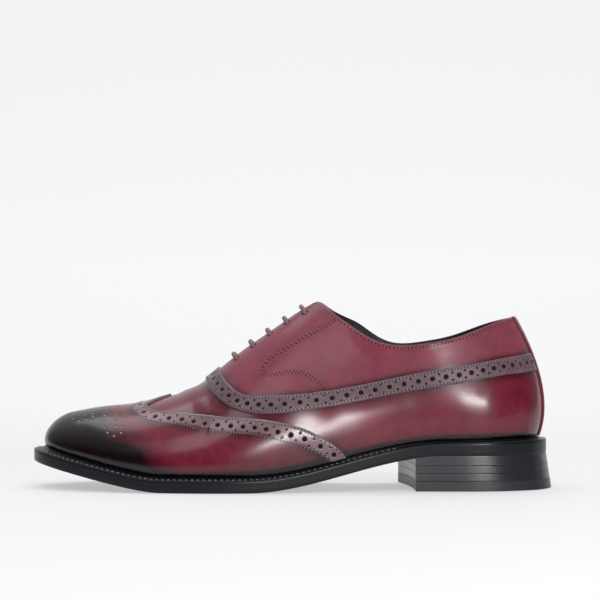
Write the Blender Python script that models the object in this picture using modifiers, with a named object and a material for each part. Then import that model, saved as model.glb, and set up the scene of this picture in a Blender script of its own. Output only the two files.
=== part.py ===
"""Left full-brogue oxford shoe: a lasted hollow upper on a welted leather sole and stacked heel.

The origin is the middle of the heel's rest face. +X runs to the heel back, -X to the toe,
+Y to the medial side, -Y to the lateral side, and +Z up. All lengths are metres.
"""
import math

import bmesh
import bpy
import numpy as np
from mathutils import Vector

# Clearance that neighbouring pieces keep
GAP = 0.0003

# The last, measured on the feather line where the upper meets the welt
LAST_LENGTH = 0.2894
BALL_WIDTH = 0.0905
INSTEP_HEIGHT = 0.0955
HEEL_BACK_X = 0.0330
TOE_SWING = 0.0030

# The upper
WALL = 0.0022
OVERLAY_WALL = 0.0010
STRIP_HALF_WIDTH = 0.0060
EYELET_RADIUS = 0.0018
EYELET_ROWS = 5
EYELET_SPREAD = 0.0095
TONGUE_WALL = 0.0020

# The lace
LACE_RADIUS = 0.0013
LACE_CLEARANCE = 0.0004
LACE_END = 0.0060

# The sole
OUTSOLE = 0.0045
WELT = 0.0024
WELT_CROWN = 0.0022
HEEL_CROWN = 0.0010
RAND_WEDGE = 0.0016
SOLE_REACH = 0.0078
EDGE_ROUND = 0.0008
INSOLE_STEP = 0.0010
TOE_SPRING = 0.0156
SPRING_LENGTH = 0.0768
SPRING_EASE = 0.25

# The heel
HEEL_HEIGHT = 0.0200
SEAT_RAMP = 0.1120
SEAT_REACH = 0.0206
TOP_PIECE = 0.0056
LIFT = 0.0041
LIFT_COUNT = 2
HEEL_FLARE_BACK = 0.0030
HEEL_FLARE_SIDE = 0.0012
FLARE_POWER = 4
BREAST_HOLLOW = 0.0022

# Shares of the last length, from the toe tip of the feather line
RIDGE_START = 0.057
TOPLINE_SPAN = 0.895
VAMP_POINT = 0.355
FACING_CORNER = 0.556
FIRST_EYELET = 0.384
LAST_EYELET = 0.5214
TONGUE_START = 0.294
TONGUE_FREE = 0.345
TONGUE_END = 0.545
BREAST_LATERAL = 0.734
BREAST_MEDIAL = 0.711
WELT_END = 0.727
SWING_END = 0.95
WING_SKIN_END = 0.72
STRIP_SKIN_START = 0.95

# Feather line: share from the toe, lateral and medial half width as shares of the ball width
TOE_FULLNESS = 0.608
HEEL_FULLNESS = 0.685
FEATHER_ROWS = (
    (0.050, 0.256, 0.241),
    (0.112, 0.3635, 0.349),
    (0.195, 0.4575, 0.432),
    (0.292, 0.517, 0.470),
    (0.385, 0.526, 0.4265),
    (0.499, 0.466, 0.306),
    (0.612, 0.400, 0.250),
    (0.723, 0.356, 0.280),
    (0.826, 0.349, 0.323),
    (0.912, 0.315, 0.307),
    (0.971, 0.221, 0.221),
)

# Sole edge: share from the toe, lateral and medial reach beyond the feather line
# as shares of the sole reach
REACH_ROWS = (
    (0.00, 1.00, 1.00),
    (0.20, 0.84, 0.84),
    (0.35, 0.80, 0.76),
    (0.50, 0.62, 0.46),
    (0.65, 0.50, 0.42),
    (0.80, 0.52, 0.48),
    (1.00, 0.67, 0.67),
)

# Ridge and collar: share from the toe, height over the feather line as a share
# of the instep height, and how much higher the medial collar stands
TOPLINE_ROWS = (
    (0.057, 0.247, 0.000),
    (0.097, 0.297, 0.000),
    (0.128, 0.331, 0.000),
    (0.162, 0.361, 0.000),
    (0.226, 0.432, 0.000),
    (0.292, 0.503, 0.000),
    (0.325, 0.560, 0.000),
    (0.357, 0.638, 0.000),
    (0.406, 0.754, 0.000),
    (0.471, 0.880, 0.000),
    (0.537, 0.977, 0.000),
    (0.553, 0.982, 0.003),
    (0.578, 0.913, 0.012),
    (0.619, 0.787, 0.037),
    (0.659, 0.679, 0.034),
    (0.700, 0.614, 0.009),
    (0.760, 0.590, 0.000),
    (0.836, 0.626, 0.000),
    (0.908, 0.702, 0.000),
    (0.952, 0.735, 0.000),
)

# Throat and collar: share from the toe and half opening as a share of the ball width,
# before it is rounded off towards the heel
OPENING_ROWS = (
    (0.355, 0.0045),
    (0.470, 0.026),
    (0.536, 0.039),
    (0.553, 0.052),
    (0.577, 0.129),
    (0.619, 0.234),
    (0.660, 0.303),
    (0.720, 0.360),
    (0.800, 0.418),
    (0.878, 0.451),
    (0.952, 0.455),
)

# Side walls: share around from toe to heel, rise of the lower handle as a share of the
# wall's height, its lateral and medial bulge and the crown's reach as shares of the
# ball width, and the lean of the top edge in degrees
WALL_ROWS = (
    (0.00, 0.35, 0.026, 0.026, 0.120, 0.0),
    (0.12, 0.35, 0.039, 0.039, 0.243, 0.0),
    (0.27, 0.28, 0.055, 0.052, 0.330, 0.0),
    (0.40, 0.30, 0.050, 0.060, 0.298, 3.0),
    (0.52, 0.32, 0.040, 0.066, 0.290, 14.0),
    (0.57, 0.32, 0.039, 0.065, 0.262, 45.0),
    (0.62, 0.32, 0.039, 0.062, 0.222, 68.0),
    (0.75, 0.33, 0.039, 0.055, 0.199, 84.0),
    (0.90, 0.30, 0.048, 0.048, 0.250, 76.0),
    (1.00, 0.26, 0.080, 0.080, 0.350, 61.0),
)

# Wing edge seen from the side, from its peak on the ridge down to the welt: share from
# the toe and height over the feather line as a share of the instep height
WING_ROWS = (
    (0.256, 0.560),
    (0.252, 0.470),
    (0.231, 0.436),
    (0.213, 0.411),
    (0.207, 0.395),
    (0.211, 0.381),
    (0.223, 0.371),
    (0.288, 0.361),
    (0.385, 0.342),
    (0.438, 0.333),
    (0.480, 0.300),
    (0.531, 0.227),
    (0.557, 0.167),
    (0.584, 0.097),
    (0.625, -0.120),
)

# The rest of that cutting outline, well below the sole and in front of the toe
WING_ROUND_ROWS = (
    (0.625, -0.500),
    (-0.080, -0.600),
    (-0.080, 0.500),
)

# Edges of the brogued band seen from the side, from the ridge to the heel: share from
# the toe and height over the feather line as a share of the instep height
BAND_TOP_ROWS = (
    (0.3535, 0.760),
    (0.357, 0.645),
    (0.367, 0.561),
    (0.389, 0.499),
    (0.406, 0.475),
    (0.427, 0.468),
    (0.464, 0.465),
    (0.517, 0.451),
    (0.571, 0.432),
    (0.636, 0.415),
    (0.700, 0.411),
    (0.764, 0.420),
    (0.848, 0.448),
    (0.905, 0.476),
    (1.050, 0.530),
)
BAND_BOTTOM_ROWS = (
    (1.050, 0.410),
    (0.905, 0.375),
    (0.848, 0.347),
    (0.764, 0.318),
    (0.700, 0.313),
    (0.596, 0.330),
    (0.517, 0.350),
    (0.438, 0.364),
    (0.411, 0.374),
    (0.384, 0.397),
    (0.357, 0.442),
    (0.334, 0.510),
    (0.325, 0.559),
    (0.321, 0.660),
)

# The lace on one side of a bar, from under the facing to the bar: places towards the
# middle and along the ridge in lace radii, and the height over the skin as a share of
# how far the lace clears the facing under it, within it or over it
LACE_STEPS = (
    (0.60, 1.50, "under", 1.00),
    (0.27, 0.40, "under", 0.85),
    (0.00, 0.00, "within", 0.86),
    (0.00, 0.00, "within", 0.14),
    (0.45, 0.00, "over", 0.65),
    (1.54, 0.00, "over", 1.00),
)
BAR_QUARTER = 0.25

# Mesh density
AROUND = 96
SOLE_AROUND = 72
HEEL_AROUND = 28
BREAST_STEPS = 6
CORNER_DENSITY = 1.6
CORNER_SPREAD = 0.045
BAND_SKIPPED_ROWS = 2
EYELET_SIDES = 10
TOE_SHARE = 0.06
CROWDED = 0.0022
RIDGE_CROWDED = 0.0055
TONGUE_SHARES = (0.71, 0.82, 0.90)
WALL_SHARES = (0.0, 0.10, 0.21, 0.33, 0.46, 0.59, 0.71, 0.82, 0.92, 1.0)
SHARP_ANGLE = math.radians(35)
WELD = 0.00005

# Steps over which slopes are taken, and the search for an eyelet's place
ANGLE_STEP = 0.002
SHARE_STEP = 0.002
WALL_STEP = 0.004
SEARCH_ROUNDS = 12
SEARCH_START = 0.9
SEARCH_STEP = 1e-4

# Colours as red, green and blue, with roughness
BURGUNDY = ((0.16, 0.012, 0.022), 0.35)
BURNISHED = ((0.05, 0.012, 0.016), 0.35)
BLACK_EDGE = ((0.012, 0.012, 0.014), 0.30)
HEEL_LEATHER = ((0.018, 0.017, 0.018), 0.32)
RUBBER = ((0.015, 0.015, 0.016), 0.60)
LINING = ((0.02, 0.018, 0.018), 0.60)
CORD = ((0.07, 0.04, 0.042), 0.70)


def spline(rows, column=1):
    """The natural cubic through one column of a table, against its first column."""
    at = np.array([row[0] for row in rows])
    value = np.array([row[column] for row in rows])
    step = np.diff(at)
    count = len(at)
    system = np.eye(count)
    bend = np.zeros(count)
    for i in range(1, count - 1):
        system[i, i - 1:i + 2] = (step[i - 1], 2 * (step[i - 1] + step[i]), step[i])
        bend[i] = 6 * ((value[i + 1] - value[i]) / step[i]
                       - (value[i] - value[i - 1]) / step[i - 1])
    curve = np.linalg.solve(system, bend)

    def evaluate(x):
        i = min(max(int(np.searchsorted(at, x)) - 1, 0), count - 2)
        before, after, h = at[i + 1] - x, x - at[i], step[i]
        cubic = (curve[i] * before ** 3 + curve[i + 1] * after ** 3) / (6 * h)
        linear = (value[i] / h - curve[i] * h / 6) * before
        return cubic + linear + (value[i + 1] / h - curve[i + 1] * h / 6) * after

    return evaluate


def smoothstep(x):
    x = min(max(x, 0.0), 1.0)
    return x * x * (3 - 2 * x)


# Places along the shoe that follow from the sizes
TOE_X = HEEL_BACK_X - LAST_LENGTH
SOLE_TIP_X = TOE_X - SOLE_REACH
TREAD_FRONT_X = SOLE_TIP_X + SPRING_LENGTH
BREAST_X = TOE_X + LAST_LENGTH * BREAST_LATERAL
TREAD_BACK_X = BREAST_X + SEAT_REACH - SEAT_RAMP

# The tables as smooth functions of the share
feather_widths = (spline(FEATHER_ROWS, 1), spline(FEATHER_ROWS, 2))
reach_shares = (spline(REACH_ROWS, 1), spline(REACH_ROWS, 2))
topline_height = spline(TOPLINE_ROWS, 1)
medial_rise = spline(TOPLINE_ROWS, 2)
opening = spline(OPENING_ROWS)
handle_rise = spline(WALL_ROWS, 1)
bulges = (spline(WALL_ROWS, 2), spline(WALL_ROWS, 3))
crown_reach = spline(WALL_ROWS, 4)
edge_lean = spline(WALL_ROWS, 5)


def share_around(angle):
    """Share from toe to heel at an angle that runs round the last from the toe tip."""
    return (1 - math.cos(angle)) / 2


def side_of(angle):
    """0 on the lateral side, 1 on the medial side."""
    return 0 if math.sin(angle) >= 0 else 1


def underside_z(x):
    """Height of the tread: toe spring, a flat forepart, and the rise to the heel seat."""
    spring = max(0.0, (TREAD_FRONT_X - x) / SPRING_LENGTH)
    toe = TOE_SPRING * (1 + SPRING_EASE) * spring * spring / (spring + SPRING_EASE)
    return toe + HEEL_HEIGHT * smoothstep((x - TREAD_BACK_X) / SEAT_RAMP)


def welt_base_z(x):
    return underside_z(x) + OUTSOLE + GAP


def welt_edge_z(x):
    """Top of the welt at its outer edge, thickened round the heel by the rand's wedge."""
    wedge = RAND_WEDGE * smoothstep((x - BREAST_X) / (HEEL_BACK_X - BREAST_X))
    return welt_base_z(x) + WELT + wedge


def crown_height(x):
    """How far the welt's top slopes up to the feather line, less round the heel."""
    back = smoothstep((x - TREAD_BACK_X) / (HEEL_BACK_X - TREAD_BACK_X))
    return WELT_CROWN + (HEEL_CROWN - WELT_CROWN) * back


def feather_z(x):
    """Height of the upper's lower edge where the sole runs level beside it."""
    return welt_edge_z(x) + crown_height(x) + GAP


def centre_line(share):
    """Sideways place of the last's middle, which swings inwards to the big toe."""
    return TOE_SWING * (1 - smoothstep(share / SWING_END))


def feather_fullness(share, side):
    """Half width over the sine of the angle, which rounds both ends of the outline."""
    low, high = FEATHER_ROWS[0][0], FEATHER_ROWS[-1][0]
    inside = min(max(share, low), high)
    full = feather_widths[side](inside) / (2 * math.sqrt(inside * (1 - inside)))
    if share < low:
        full += (TOE_FULLNESS - full) * (1 - share / low)
    elif share > high:
        full += (HEEL_FULLNESS - full) * (share - high) / (1 - high)
    return full * BALL_WIDTH


def feather_plan(angle):
    share = share_around(angle)
    x = TOE_X + LAST_LENGTH * share
    y = centre_line(share) - math.sin(angle) * feather_fullness(share, side_of(angle))
    return Vector((x, y, 0))


def plan_normal(angle):
    """Outward direction of the feather line in plan."""
    along = feather_plan(angle + ANGLE_STEP) - feather_plan(angle - ANGLE_STEP)
    return Vector((along.y, -along.x, 0)).normalized()


def sole_reach(angle):
    return SOLE_REACH * reach_shares[side_of(angle)](share_around(angle))


def outline_point(angle, offset, z=0.0):
    """Point of an outline parallel to the feather line."""
    point = feather_plan(angle) + plan_normal(angle) * offset
    point.z = z
    return point


def seam_z(angle):
    """Top of the welt at the feather line, set from the sole edge beside it."""
    x = outline_point(angle, sole_reach(angle)).x
    return welt_edge_z(x) + crown_height(x)


def top_share(angle):
    """Share from the toe at which the wall at this angle reaches the ridge or topline."""
    return RIDGE_START + TOPLINE_SPAN * share_around(angle)


def on_ridge(angle):
    return top_share(angle) <= VAMP_POINT


def topline_z(share, side):
    x = TOE_X + LAST_LENGTH * share
    rise = topline_height(share) + side * medial_rise(share)
    return feather_z(x) + INSTEP_HEIGHT * rise


def topline_point(angle):
    share = top_share(angle)
    side = side_of(angle)
    half = 0.0
    if not on_ridge(angle):
        half = BALL_WIDTH * opening(share)
        if share_around(angle) > 0.5:
            half *= abs(math.sin(angle))
    y = centre_line(share) + (half if side else -half)
    return Vector((TOE_X + LAST_LENGTH * share, y, topline_z(share, side)))


def ridge_slope(share):
    rise = topline_z(share + SHARE_STEP, 0) - topline_z(share - SHARE_STEP, 0)
    return rise / (2 * SHARE_STEP * LAST_LENGTH)


def wall_handles(angle):
    """Four control points of the wall's section, from the feather line to the top."""
    share = share_around(angle)
    side = side_of(angle)
    foot = feather_plan(angle)
    foot.z = seam_z(angle) + GAP
    top = topline_point(angle)
    rise = handle_rise(share) * (top.z - foot.z)
    bulge = bulges[side](share) * BALL_WIDTH
    low = foot + Vector((0, 0, rise)) + plan_normal(angle) * bulge
    out = Vector((foot.x - top.x, foot.y - top.y, 0)).normalized()
    lean = math.radians(max(0.0, edge_lean(share)))
    tilt = math.cos(lean)
    out.z = out.x * ridge_slope(top_share(angle)) * max(0.0, tilt) ** 2
    out.normalize()
    leave = out * tilt + Vector((0, 0, -math.sin(lean)))
    high = top + leave * crown_reach(share) * BALL_WIDTH
    return foot, low, high, top


def wall_point(angle, t, offset=0.0):
    """Point on the upper's skin, or off it by an offset along its outward normal."""
    foot, low, high, top = wall_handles(angle)
    s = 1 - t
    point = foot * s ** 3 + low * 3 * s * s * t + high * 3 * s * t * t + top * t ** 3
    if offset:
        point = point + wall_normal(angle, t) * offset
    return point


def wall_normal(angle, t):
    if t == 1.0 and on_ridge(angle):
        slope = ridge_slope(top_share(angle))
        return Vector((-slope, 0, 1)).normalized()
    low, high = max(0.0, t - WALL_STEP), min(1.0, t + WALL_STEP)
    around = wall_point(angle + WALL_STEP, t) - wall_point(angle - WALL_STEP, t)
    up = wall_point(angle, high) - wall_point(angle, low)
    return around.cross(up).normalized()


def station_angles():
    """Angles of the wall's sections, closer together where the facing turns its corner."""
    corner = (FACING_CORNER - RIDGE_START) / TOPLINE_SPAN
    fine = np.linspace(0, math.pi, 400)
    share = (1 - np.cos(fine)) / 2
    density = 1 + CORNER_DENSITY * np.exp(-((share - corner) / CORNER_SPREAD) ** 2)
    walked = np.concatenate(([0], np.cumsum((density[1:] + density[:-1]) / 2)))
    half = np.interp(np.linspace(0, walked[-1], AROUND // 2 + 1), walked, fine)
    return [float(a) for a in half] + [2 * math.pi - float(a) for a in half[-2:0:-1]]


ANGLES = station_angles()


def principled(name, look):
    """A plain material from a colour and a roughness."""
    colour, roughness = look
    material = bpy.data.materials.new(name)
    material.use_nodes = True
    shader = material.node_tree.nodes["Principled BSDF"]
    shader.inputs["Base Color"].default_value = (*colour, 1.0)
    shader.inputs["Roughness"].default_value = roughness
    shader.inputs["Metallic"].default_value = 0.0
    return material


def new_collection(name):
    collection = bpy.data.collections.new(name)
    bpy.context.scene.collection.children.link(collection)
    return collection


def finish_object(name, bm, collection, material=None, smooth=True):
    """Turn a bmesh into an object with its faces pointing out."""
    bmesh.ops.recalc_face_normals(bm, faces=bm.faces)
    mesh = bpy.data.meshes.new(name)
    bm.to_mesh(mesh)
    bm.free()
    if smooth:
        mesh.shade_smooth()
        mesh.set_sharp_from_angle(angle=SHARP_ANGLE)
    if material:
        mesh.materials.append(material)
    obj = bpy.data.objects.new(name, mesh)
    collection.objects.link(obj)
    return obj


def skin_mesh(offset, skipped_rows=0, first_share=0.0, last_share=1.0):
    """The wall's outer skin as an open grid, its two halves meeting along the ridge.

    Only the sections between two shares of the way round are made. Neighbouring sections
    that crowd together over the toe share their points.
    """
    count = len(ANGLES)
    shares = [share_around(angle) for angle in ANGLES]
    used = [i for i in range(count) if first_share <= shares[i] <= last_share]
    used.sort(key=lambda i: min(i, count - i))
    heights = WALL_SHARES[skipped_rows:]
    bm = bmesh.new()
    grid = {}
    kept = {}
    for j, t in enumerate(heights):
        for i in used:
            side = side_of(ANGLES[i])
            twin = (count - i) % count
            if t == 1.0 and on_ridge(ANGLES[i]) and (twin, j) in grid:
                grid[i, j] = grid[twin, j]
                continue
            point = wall_point(ANGLES[i], t)
            last = kept.get((side, j))
            crowded = RIDGE_CROWDED if t == 1.0 else CROWDED
            if shares[i] < TOE_SHARE and last and (point - last[0]).length < crowded:
                grid[i, j] = last[1]
                continue
            grid[i, j] = bm.verts.new(wall_point(ANGLES[i], t, offset))
            kept[side, j] = (point, grid[i, j])
            if i == 0:
                kept[1, j] = kept[0, j]
    for i in used:
        after = (i + 1) % count
        if (after, 0) not in grid:
            continue
        for j in range(len(heights) - 1):
            corners = [grid[i, j], grid[after, j], grid[after, j + 1], grid[i, j + 1]]
            if side_of(ANGLES[i]):
                corners = corners[1:] + corners[:1]
            for triangle in (corners[:3], corners[2:] + corners[:1]):
                if len(set(triangle)) == 3:
                    bm.faces.new(triangle)
    return bm


def add_shell(name, bm, thickness, outwards, collection, material):
    """A skin given a wall of its thickness by Solidify."""
    mesh = bpy.data.meshes.new(name)
    bm.to_mesh(mesh)
    bm.free()
    mesh.shade_smooth()
    mesh.materials.append(material)
    obj = bpy.data.objects.new(name, mesh)
    collection.objects.link(obj)
    shell = obj.modifiers.new("Wall", "SOLIDIFY")
    shell.thickness = thickness
    shell.offset = 1.0 if outwards else -1.0
    shell.use_even_offset = True
    return obj


def add_cut(obj, cutter, operation):
    cut = obj.modifiers.new(cutter.name, "BOOLEAN")
    cut.object = cutter
    cut.operation = operation
    cut.solver = "EXACT"
    return cut


def add_cutter(name, bm, collection):
    cutter = finish_object(name, bm, collection, smooth=False)
    cutter.hide_render = True
    cutter.display_type = "WIRE"
    return cutter


def side_prism(points):
    """A prism right through the shoe from an outline seen from the side."""
    bm = bmesh.new()
    face = bm.faces.new([bm.verts.new((x, -BALL_WIDTH, z)) for x, z in points])
    through = bmesh.ops.extrude_face_region(bm, geom=[face])
    moved = [v for v in through["geom"] if isinstance(v, bmesh.types.BMVert)]
    bmesh.ops.translate(bm, verts=moved, vec=(0, 2 * BALL_WIDTH, 0))
    return bm


def block(low, high):
    bm = bmesh.new()
    bmesh.ops.create_cube(bm, size=1.0)
    size = Vector(high) - Vector(low)
    bmesh.ops.scale(bm, verts=bm.verts, vec=size)
    bmesh.ops.translate(bm, verts=bm.verts, vec=(Vector(high) + Vector(low)) / 2)
    return bm


def side_point(share, rise):
    """A place in the side view from a share of the length and of the instep height."""
    x = TOE_X + LAST_LENGTH * share
    return x, feather_z(x) + INSTEP_HEIGHT * rise


def plate_mesh(rings):
    """A closed plate between rings of points that all run once round the outline.

    The first and last ring are closed by strips across the shoe.
    """
    bm = bmesh.new()
    loops = [[bm.verts.new(point) for point in ring] for ring in rings]
    count = len(loops[0])
    for lower, upper in zip(loops, loops[1:]):
        for i in range(count):
            j = (i + 1) % count
            bm.faces.new((lower[i], lower[j], upper[j], upper[i]))
    for loop in (loops[0], loops[-1]):
        for i in range(count // 2):
            near = loop[i], loop[i + 1]
            far = loop[count - i - 1], loop[(count - i) % count]
            bm.faces.new(list(dict.fromkeys(near + far)))
    return bm


def strip_mesh(sections, closed=False):
    """A closed body swept through sections that each hold the same points."""
    bm = bmesh.new()
    loops = [[bm.verts.new(point) for point in section] for section in sections]
    size = len(loops[0])
    pairs = list(zip(loops, loops[1:]))
    if closed:
        pairs.append((loops[-1], loops[0]))
    for before, after in pairs:
        for i in range(size):
            j = (i + 1) % size
            bm.faces.new((before[i], before[j], after[j], after[i]))
    if not closed:
        bm.faces.new(loops[0])
        bm.faces.new(loops[-1])
    return bm


def share_angle(share, side):
    """Angle of the outline's point at a share of the length."""
    angle = math.acos(1 - 2 * share)
    return 2 * math.pi - angle if side else angle


def even_angles(count, start=0.0, end=2 * math.pi):
    return [start + (end - start) * i / count for i in range(count)]


def make_outsole(collection, material):
    rings = []
    edges = ((-EDGE_ROUND, 0.0), (0.0, EDGE_ROUND),
             (0.0, OUTSOLE - EDGE_ROUND / 2), (-EDGE_ROUND / 2, OUTSOLE))
    for inset, rise in edges:
        ring = []
        for angle in even_angles(SOLE_AROUND):
            point = outline_point(angle, sole_reach(angle) + inset)
            point.z = underside_z(point.x) + rise
            ring.append(point)
        rings.append(ring)
    return finish_object("outsole", plate_mesh(rings), collection, material)


def welt_section(angle):
    """Section of the welt or rand: base, outer edge, and a top that slopes up inwards."""
    outer = outline_point(angle, sole_reach(angle))
    seam = outline_point(angle, 0.0, seam_z(angle))
    inner = outline_point(angle, -WALL, seam_z(angle))
    base_outer = outer.copy()
    base_outer.z = welt_base_z(outer.x)
    base_inner = inner.copy()
    base_inner.z = welt_base_z(inner.x)
    edge = outline_point(angle, sole_reach(angle) - EDGE_ROUND / 2, welt_edge_z(outer.x))
    outer.z = edge.z - EDGE_ROUND / 2
    return [base_inner, base_outer, outer, edge, seam, inner]


def make_welt(collection, material):
    end = share_angle(WELT_END, 0)
    count = int(SOLE_AROUND * end / math.pi)
    angles = even_angles(count, -end, end) + [end]
    sections = [welt_section(angle) for angle in angles]
    return finish_object("welt", strip_mesh(sections), collection, material)


def make_rand(collection, material):
    start = share_angle(WELT_END + GAP * 1.5 / LAST_LENGTH, 0)
    count = int(SOLE_AROUND * (math.pi - start) / math.pi)
    angles = even_angles(count, start, 2 * math.pi - start) + [2 * math.pi - start]
    sections = [welt_section(angle) for angle in angles]
    return finish_object("heel_rand", strip_mesh(sections), collection, material)


def make_insole(collection, material):
    rings = []
    for raised in (False, True):
        ring = []
        for angle in even_angles(SOLE_AROUND):
            point = outline_point(angle, -WALL - 2 * GAP)
            point.z = seam_z(angle) + INSOLE_STEP if raised else welt_base_z(point.x)
            ring.append(point)
        rings.append(ring)
    return finish_object("insole", plate_mesh(rings), collection, material)


def heel_ring(z_of):
    """Outline of the heel at heights given by its own x, breast line included."""
    start = share_angle(BREAST_LATERAL, 0)
    end = share_angle(BREAST_MEDIAL, 1)
    ring = []
    for angle in even_angles(HEEL_AROUND, start, end) + [end]:
        edge = outline_point(angle, sole_reach(angle))
        z = z_of(edge.x)
        back = abs(math.cos(angle)) ** FLARE_POWER
        flare = HEEL_FLARE_SIDE + (HEEL_FLARE_BACK - HEEL_FLARE_SIDE) * back
        edge = outline_point(angle, sole_reach(angle) + flare * (1 - z / HEEL_HEIGHT), z)
        ring.append(edge)
    lateral, medial = ring[0], ring[-1]
    for i in range(1, BREAST_STEPS):
        across = i / BREAST_STEPS
        point = medial.lerp(lateral, across)
        point.x += BREAST_HOLLOW * 4 * across * (1 - across)
        point.z = z_of(point.x)
        ring.append(point)
    return ring


def heel_mesh(low_z, high_z):
    """One layer of the heel between two heights, each a function of x."""
    bm = bmesh.new()
    lower, upper = [[bm.verts.new(p) for p in heel_ring(z_of)] for z_of in (low_z, high_z)]
    count = len(lower)
    for i in range(count):
        j = (i + 1) % count
        bm.faces.new((lower[i], lower[j], upper[j], upper[i]))
    last = HEEL_AROUND
    for loop in (lower, upper):
        for i in range(1, last // 2):
            quad = (loop[i], loop[i + 1], loop[last - i - 1], loop[last - i])
            bm.faces.new(list(dict.fromkeys(quad)))
        bm.faces.new([loop[0], loop[1], loop[last - 1]] + loop[last:])
    return bm


def make_heel(collection, rubber, leather):
    layers = [("heel_top_piece", 0.0, TOP_PIECE, rubber)]
    floor = TOP_PIECE + GAP
    for i in range(LIFT_COUNT):
        layers.append((f"heel_lift_{i + 1}", floor, floor + LIFT, leather))
        floor += LIFT + GAP
    for name, low, high, material in layers:
        bm = heel_mesh(lambda x, z=low: z, lambda x, z=high: z)
        finish_object(name, bm, collection, material)
    seat = heel_mesh(lambda x: floor, lambda x: underside_z(x) - GAP)
    finish_object("heel_seat_lift", seat, collection, leather)


def row_on_ridge(row):
    """Place on the ridge between the two eyelets of a row, and the way along the ridge."""
    share = FIRST_EYELET + (LAST_EYELET - FIRST_EYELET) * row / (EYELET_ROWS - 1)
    x = TOE_X + LAST_LENGTH * share
    along = Vector((1, 0, ridge_slope(share))).normalized()
    return Vector((x, centre_line(share), topline_z(share, 0))), along


def eyelet_place(row, side):
    """Angle and height share of an eyelet on the wall, level with its row on the ridge."""
    ridge, along = row_on_ridge(row)
    spread = EYELET_SPREAD if side else -EYELET_SPREAD
    share = (ridge.x - TOE_X) / LAST_LENGTH
    angle, t = share_angle((share - RIDGE_START) / TOPLINE_SPAN, side), SEARCH_START

    def miss(at, height):
        point = wall_point(at, height)
        return np.array(((point - ridge).dot(along), point.y - ridge.y - spread))

    for _ in range(SEARCH_ROUNDS):
        here = miss(angle, t)
        across = (miss(angle + SEARCH_STEP, t) - here) / SEARCH_STEP
        up = (miss(angle, t + SEARCH_STEP) - here) / SEARCH_STEP
        change = np.linalg.solve(np.column_stack((across, up)), -here)
        angle += float(change[0])
        t += float(change[1])
    return angle, t


def eyelet_frame(row, side):
    """Place of an eyelet, the wall's normal, the way to the middle, and along the ridge."""
    angle, t = eyelet_place(row, side)
    place = wall_point(angle, t)
    normal = wall_normal(angle, t)
    along = row_on_ridge(row)[1]
    inwards = normal.cross(along).normalized()
    if inwards.y * (1 if side else -1) > 0:
        inwards = -inwards
    return place, normal, inwards, along


def eyelet_cutter(collection):
    bm = bmesh.new()
    for row in range(EYELET_ROWS):
        for side in (0, 1):
            place, normal, _, _ = eyelet_frame(row, side)
            made = bmesh.ops.create_cone(bm, cap_ends=True, segments=EYELET_SIDES,
                                         depth=4 * WALL, radius1=EYELET_RADIUS,
                                         radius2=EYELET_RADIUS)
            turn = Vector((0, 0, 1)).rotation_difference(normal)
            bmesh.ops.rotate(bm, verts=made["verts"], cent=(0, 0, 0), matrix=turn.to_matrix())
            bmesh.ops.translate(bm, verts=made["verts"], vec=place - normal * WALL / 2)
    return add_cutter("eyelet_holes", bm, collection)


def make_upper(collection, cutters, material):
    upper = add_shell("upper", skin_mesh(0.0), WALL, False, collection, material)
    add_cut(upper, eyelet_cutter(cutters), "DIFFERENCE")
    return upper


def make_wing_cap(collection, cutters, material):
    """The winged toe cap, cut from a skin over the upper by its edge in the side view."""
    outline = [side_point(*row) for row in WING_ROWS + WING_ROUND_ROWS]
    cutter = add_cutter("wing_outline", side_prism(outline), cutters)
    skin = skin_mesh(GAP, last_share=WING_SKIN_END)
    cap = add_shell("wing_cap", skin, OVERLAY_WALL, True, collection, material)
    add_cut(cap, cutter, "INTERSECT")
    return cap


def strip_block(half):
    """A block behind the heel's middle that is as wide as the back strip."""
    return block((0.0, -half, 0.0), (2 * HEEL_BACK_X, half, 2 * INSTEP_HEIGHT))


def make_band(collection, cutters, material):
    """The brogued band from the throat to the back strip on both sides."""
    outline = [side_point(*row) for row in BAND_TOP_ROWS + BAND_BOTTOM_ROWS]
    cutter = add_cutter("band_outline", side_prism(outline), cutters)
    skin = skin_mesh(GAP, skipped_rows=BAND_SKIPPED_ROWS)
    band = add_shell("brogue_band", skin, OVERLAY_WALL, True, collection, material)
    add_cut(band, cutter, "INTERSECT")
    room = add_cutter("strip_room", strip_block(STRIP_HALF_WIDTH + GAP), cutters)
    add_cut(band, room, "DIFFERENCE")
    return band


def make_back_strip(collection, cutters, material):
    cutter = add_cutter("strip_width", strip_block(STRIP_HALF_WIDTH), cutters)
    skin = skin_mesh(GAP, first_share=STRIP_SKIN_START)
    strip = add_shell("back_strip", skin, OVERLAY_WALL, True, collection, material)
    add_cut(strip, cutter, "INTERSECT")
    return strip


def tongue_depth(share):
    """How deep the tongue lies under the wall's skin: by the wall in front, then with
    room for the lace's hidden runs."""
    seated = WALL + GAP
    free = WALL + 2 * LACE_RADIUS + 2 * LACE_CLEARANCE
    return seated + (free - seated) * smoothstep((share - TONGUE_START)
                                                 / (TONGUE_FREE - TONGUE_START))


def tongue_section(angle):
    share = top_share(angle)
    depth = tongue_depth(share)
    twin = 2 * math.pi - angle
    lateral = [wall_point(angle, t, -depth) for t in TONGUE_SHARES]
    medial = [wall_point(twin, t, -depth) for t in TONGUE_SHARES]
    slope = ridge_slope(share)
    down = Vector((slope, 0, -1)).normalized() * depth
    middle = (topline_point(angle) + topline_point(twin)) / 2 + down
    return lateral + [middle] + medial[::-1]


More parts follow.
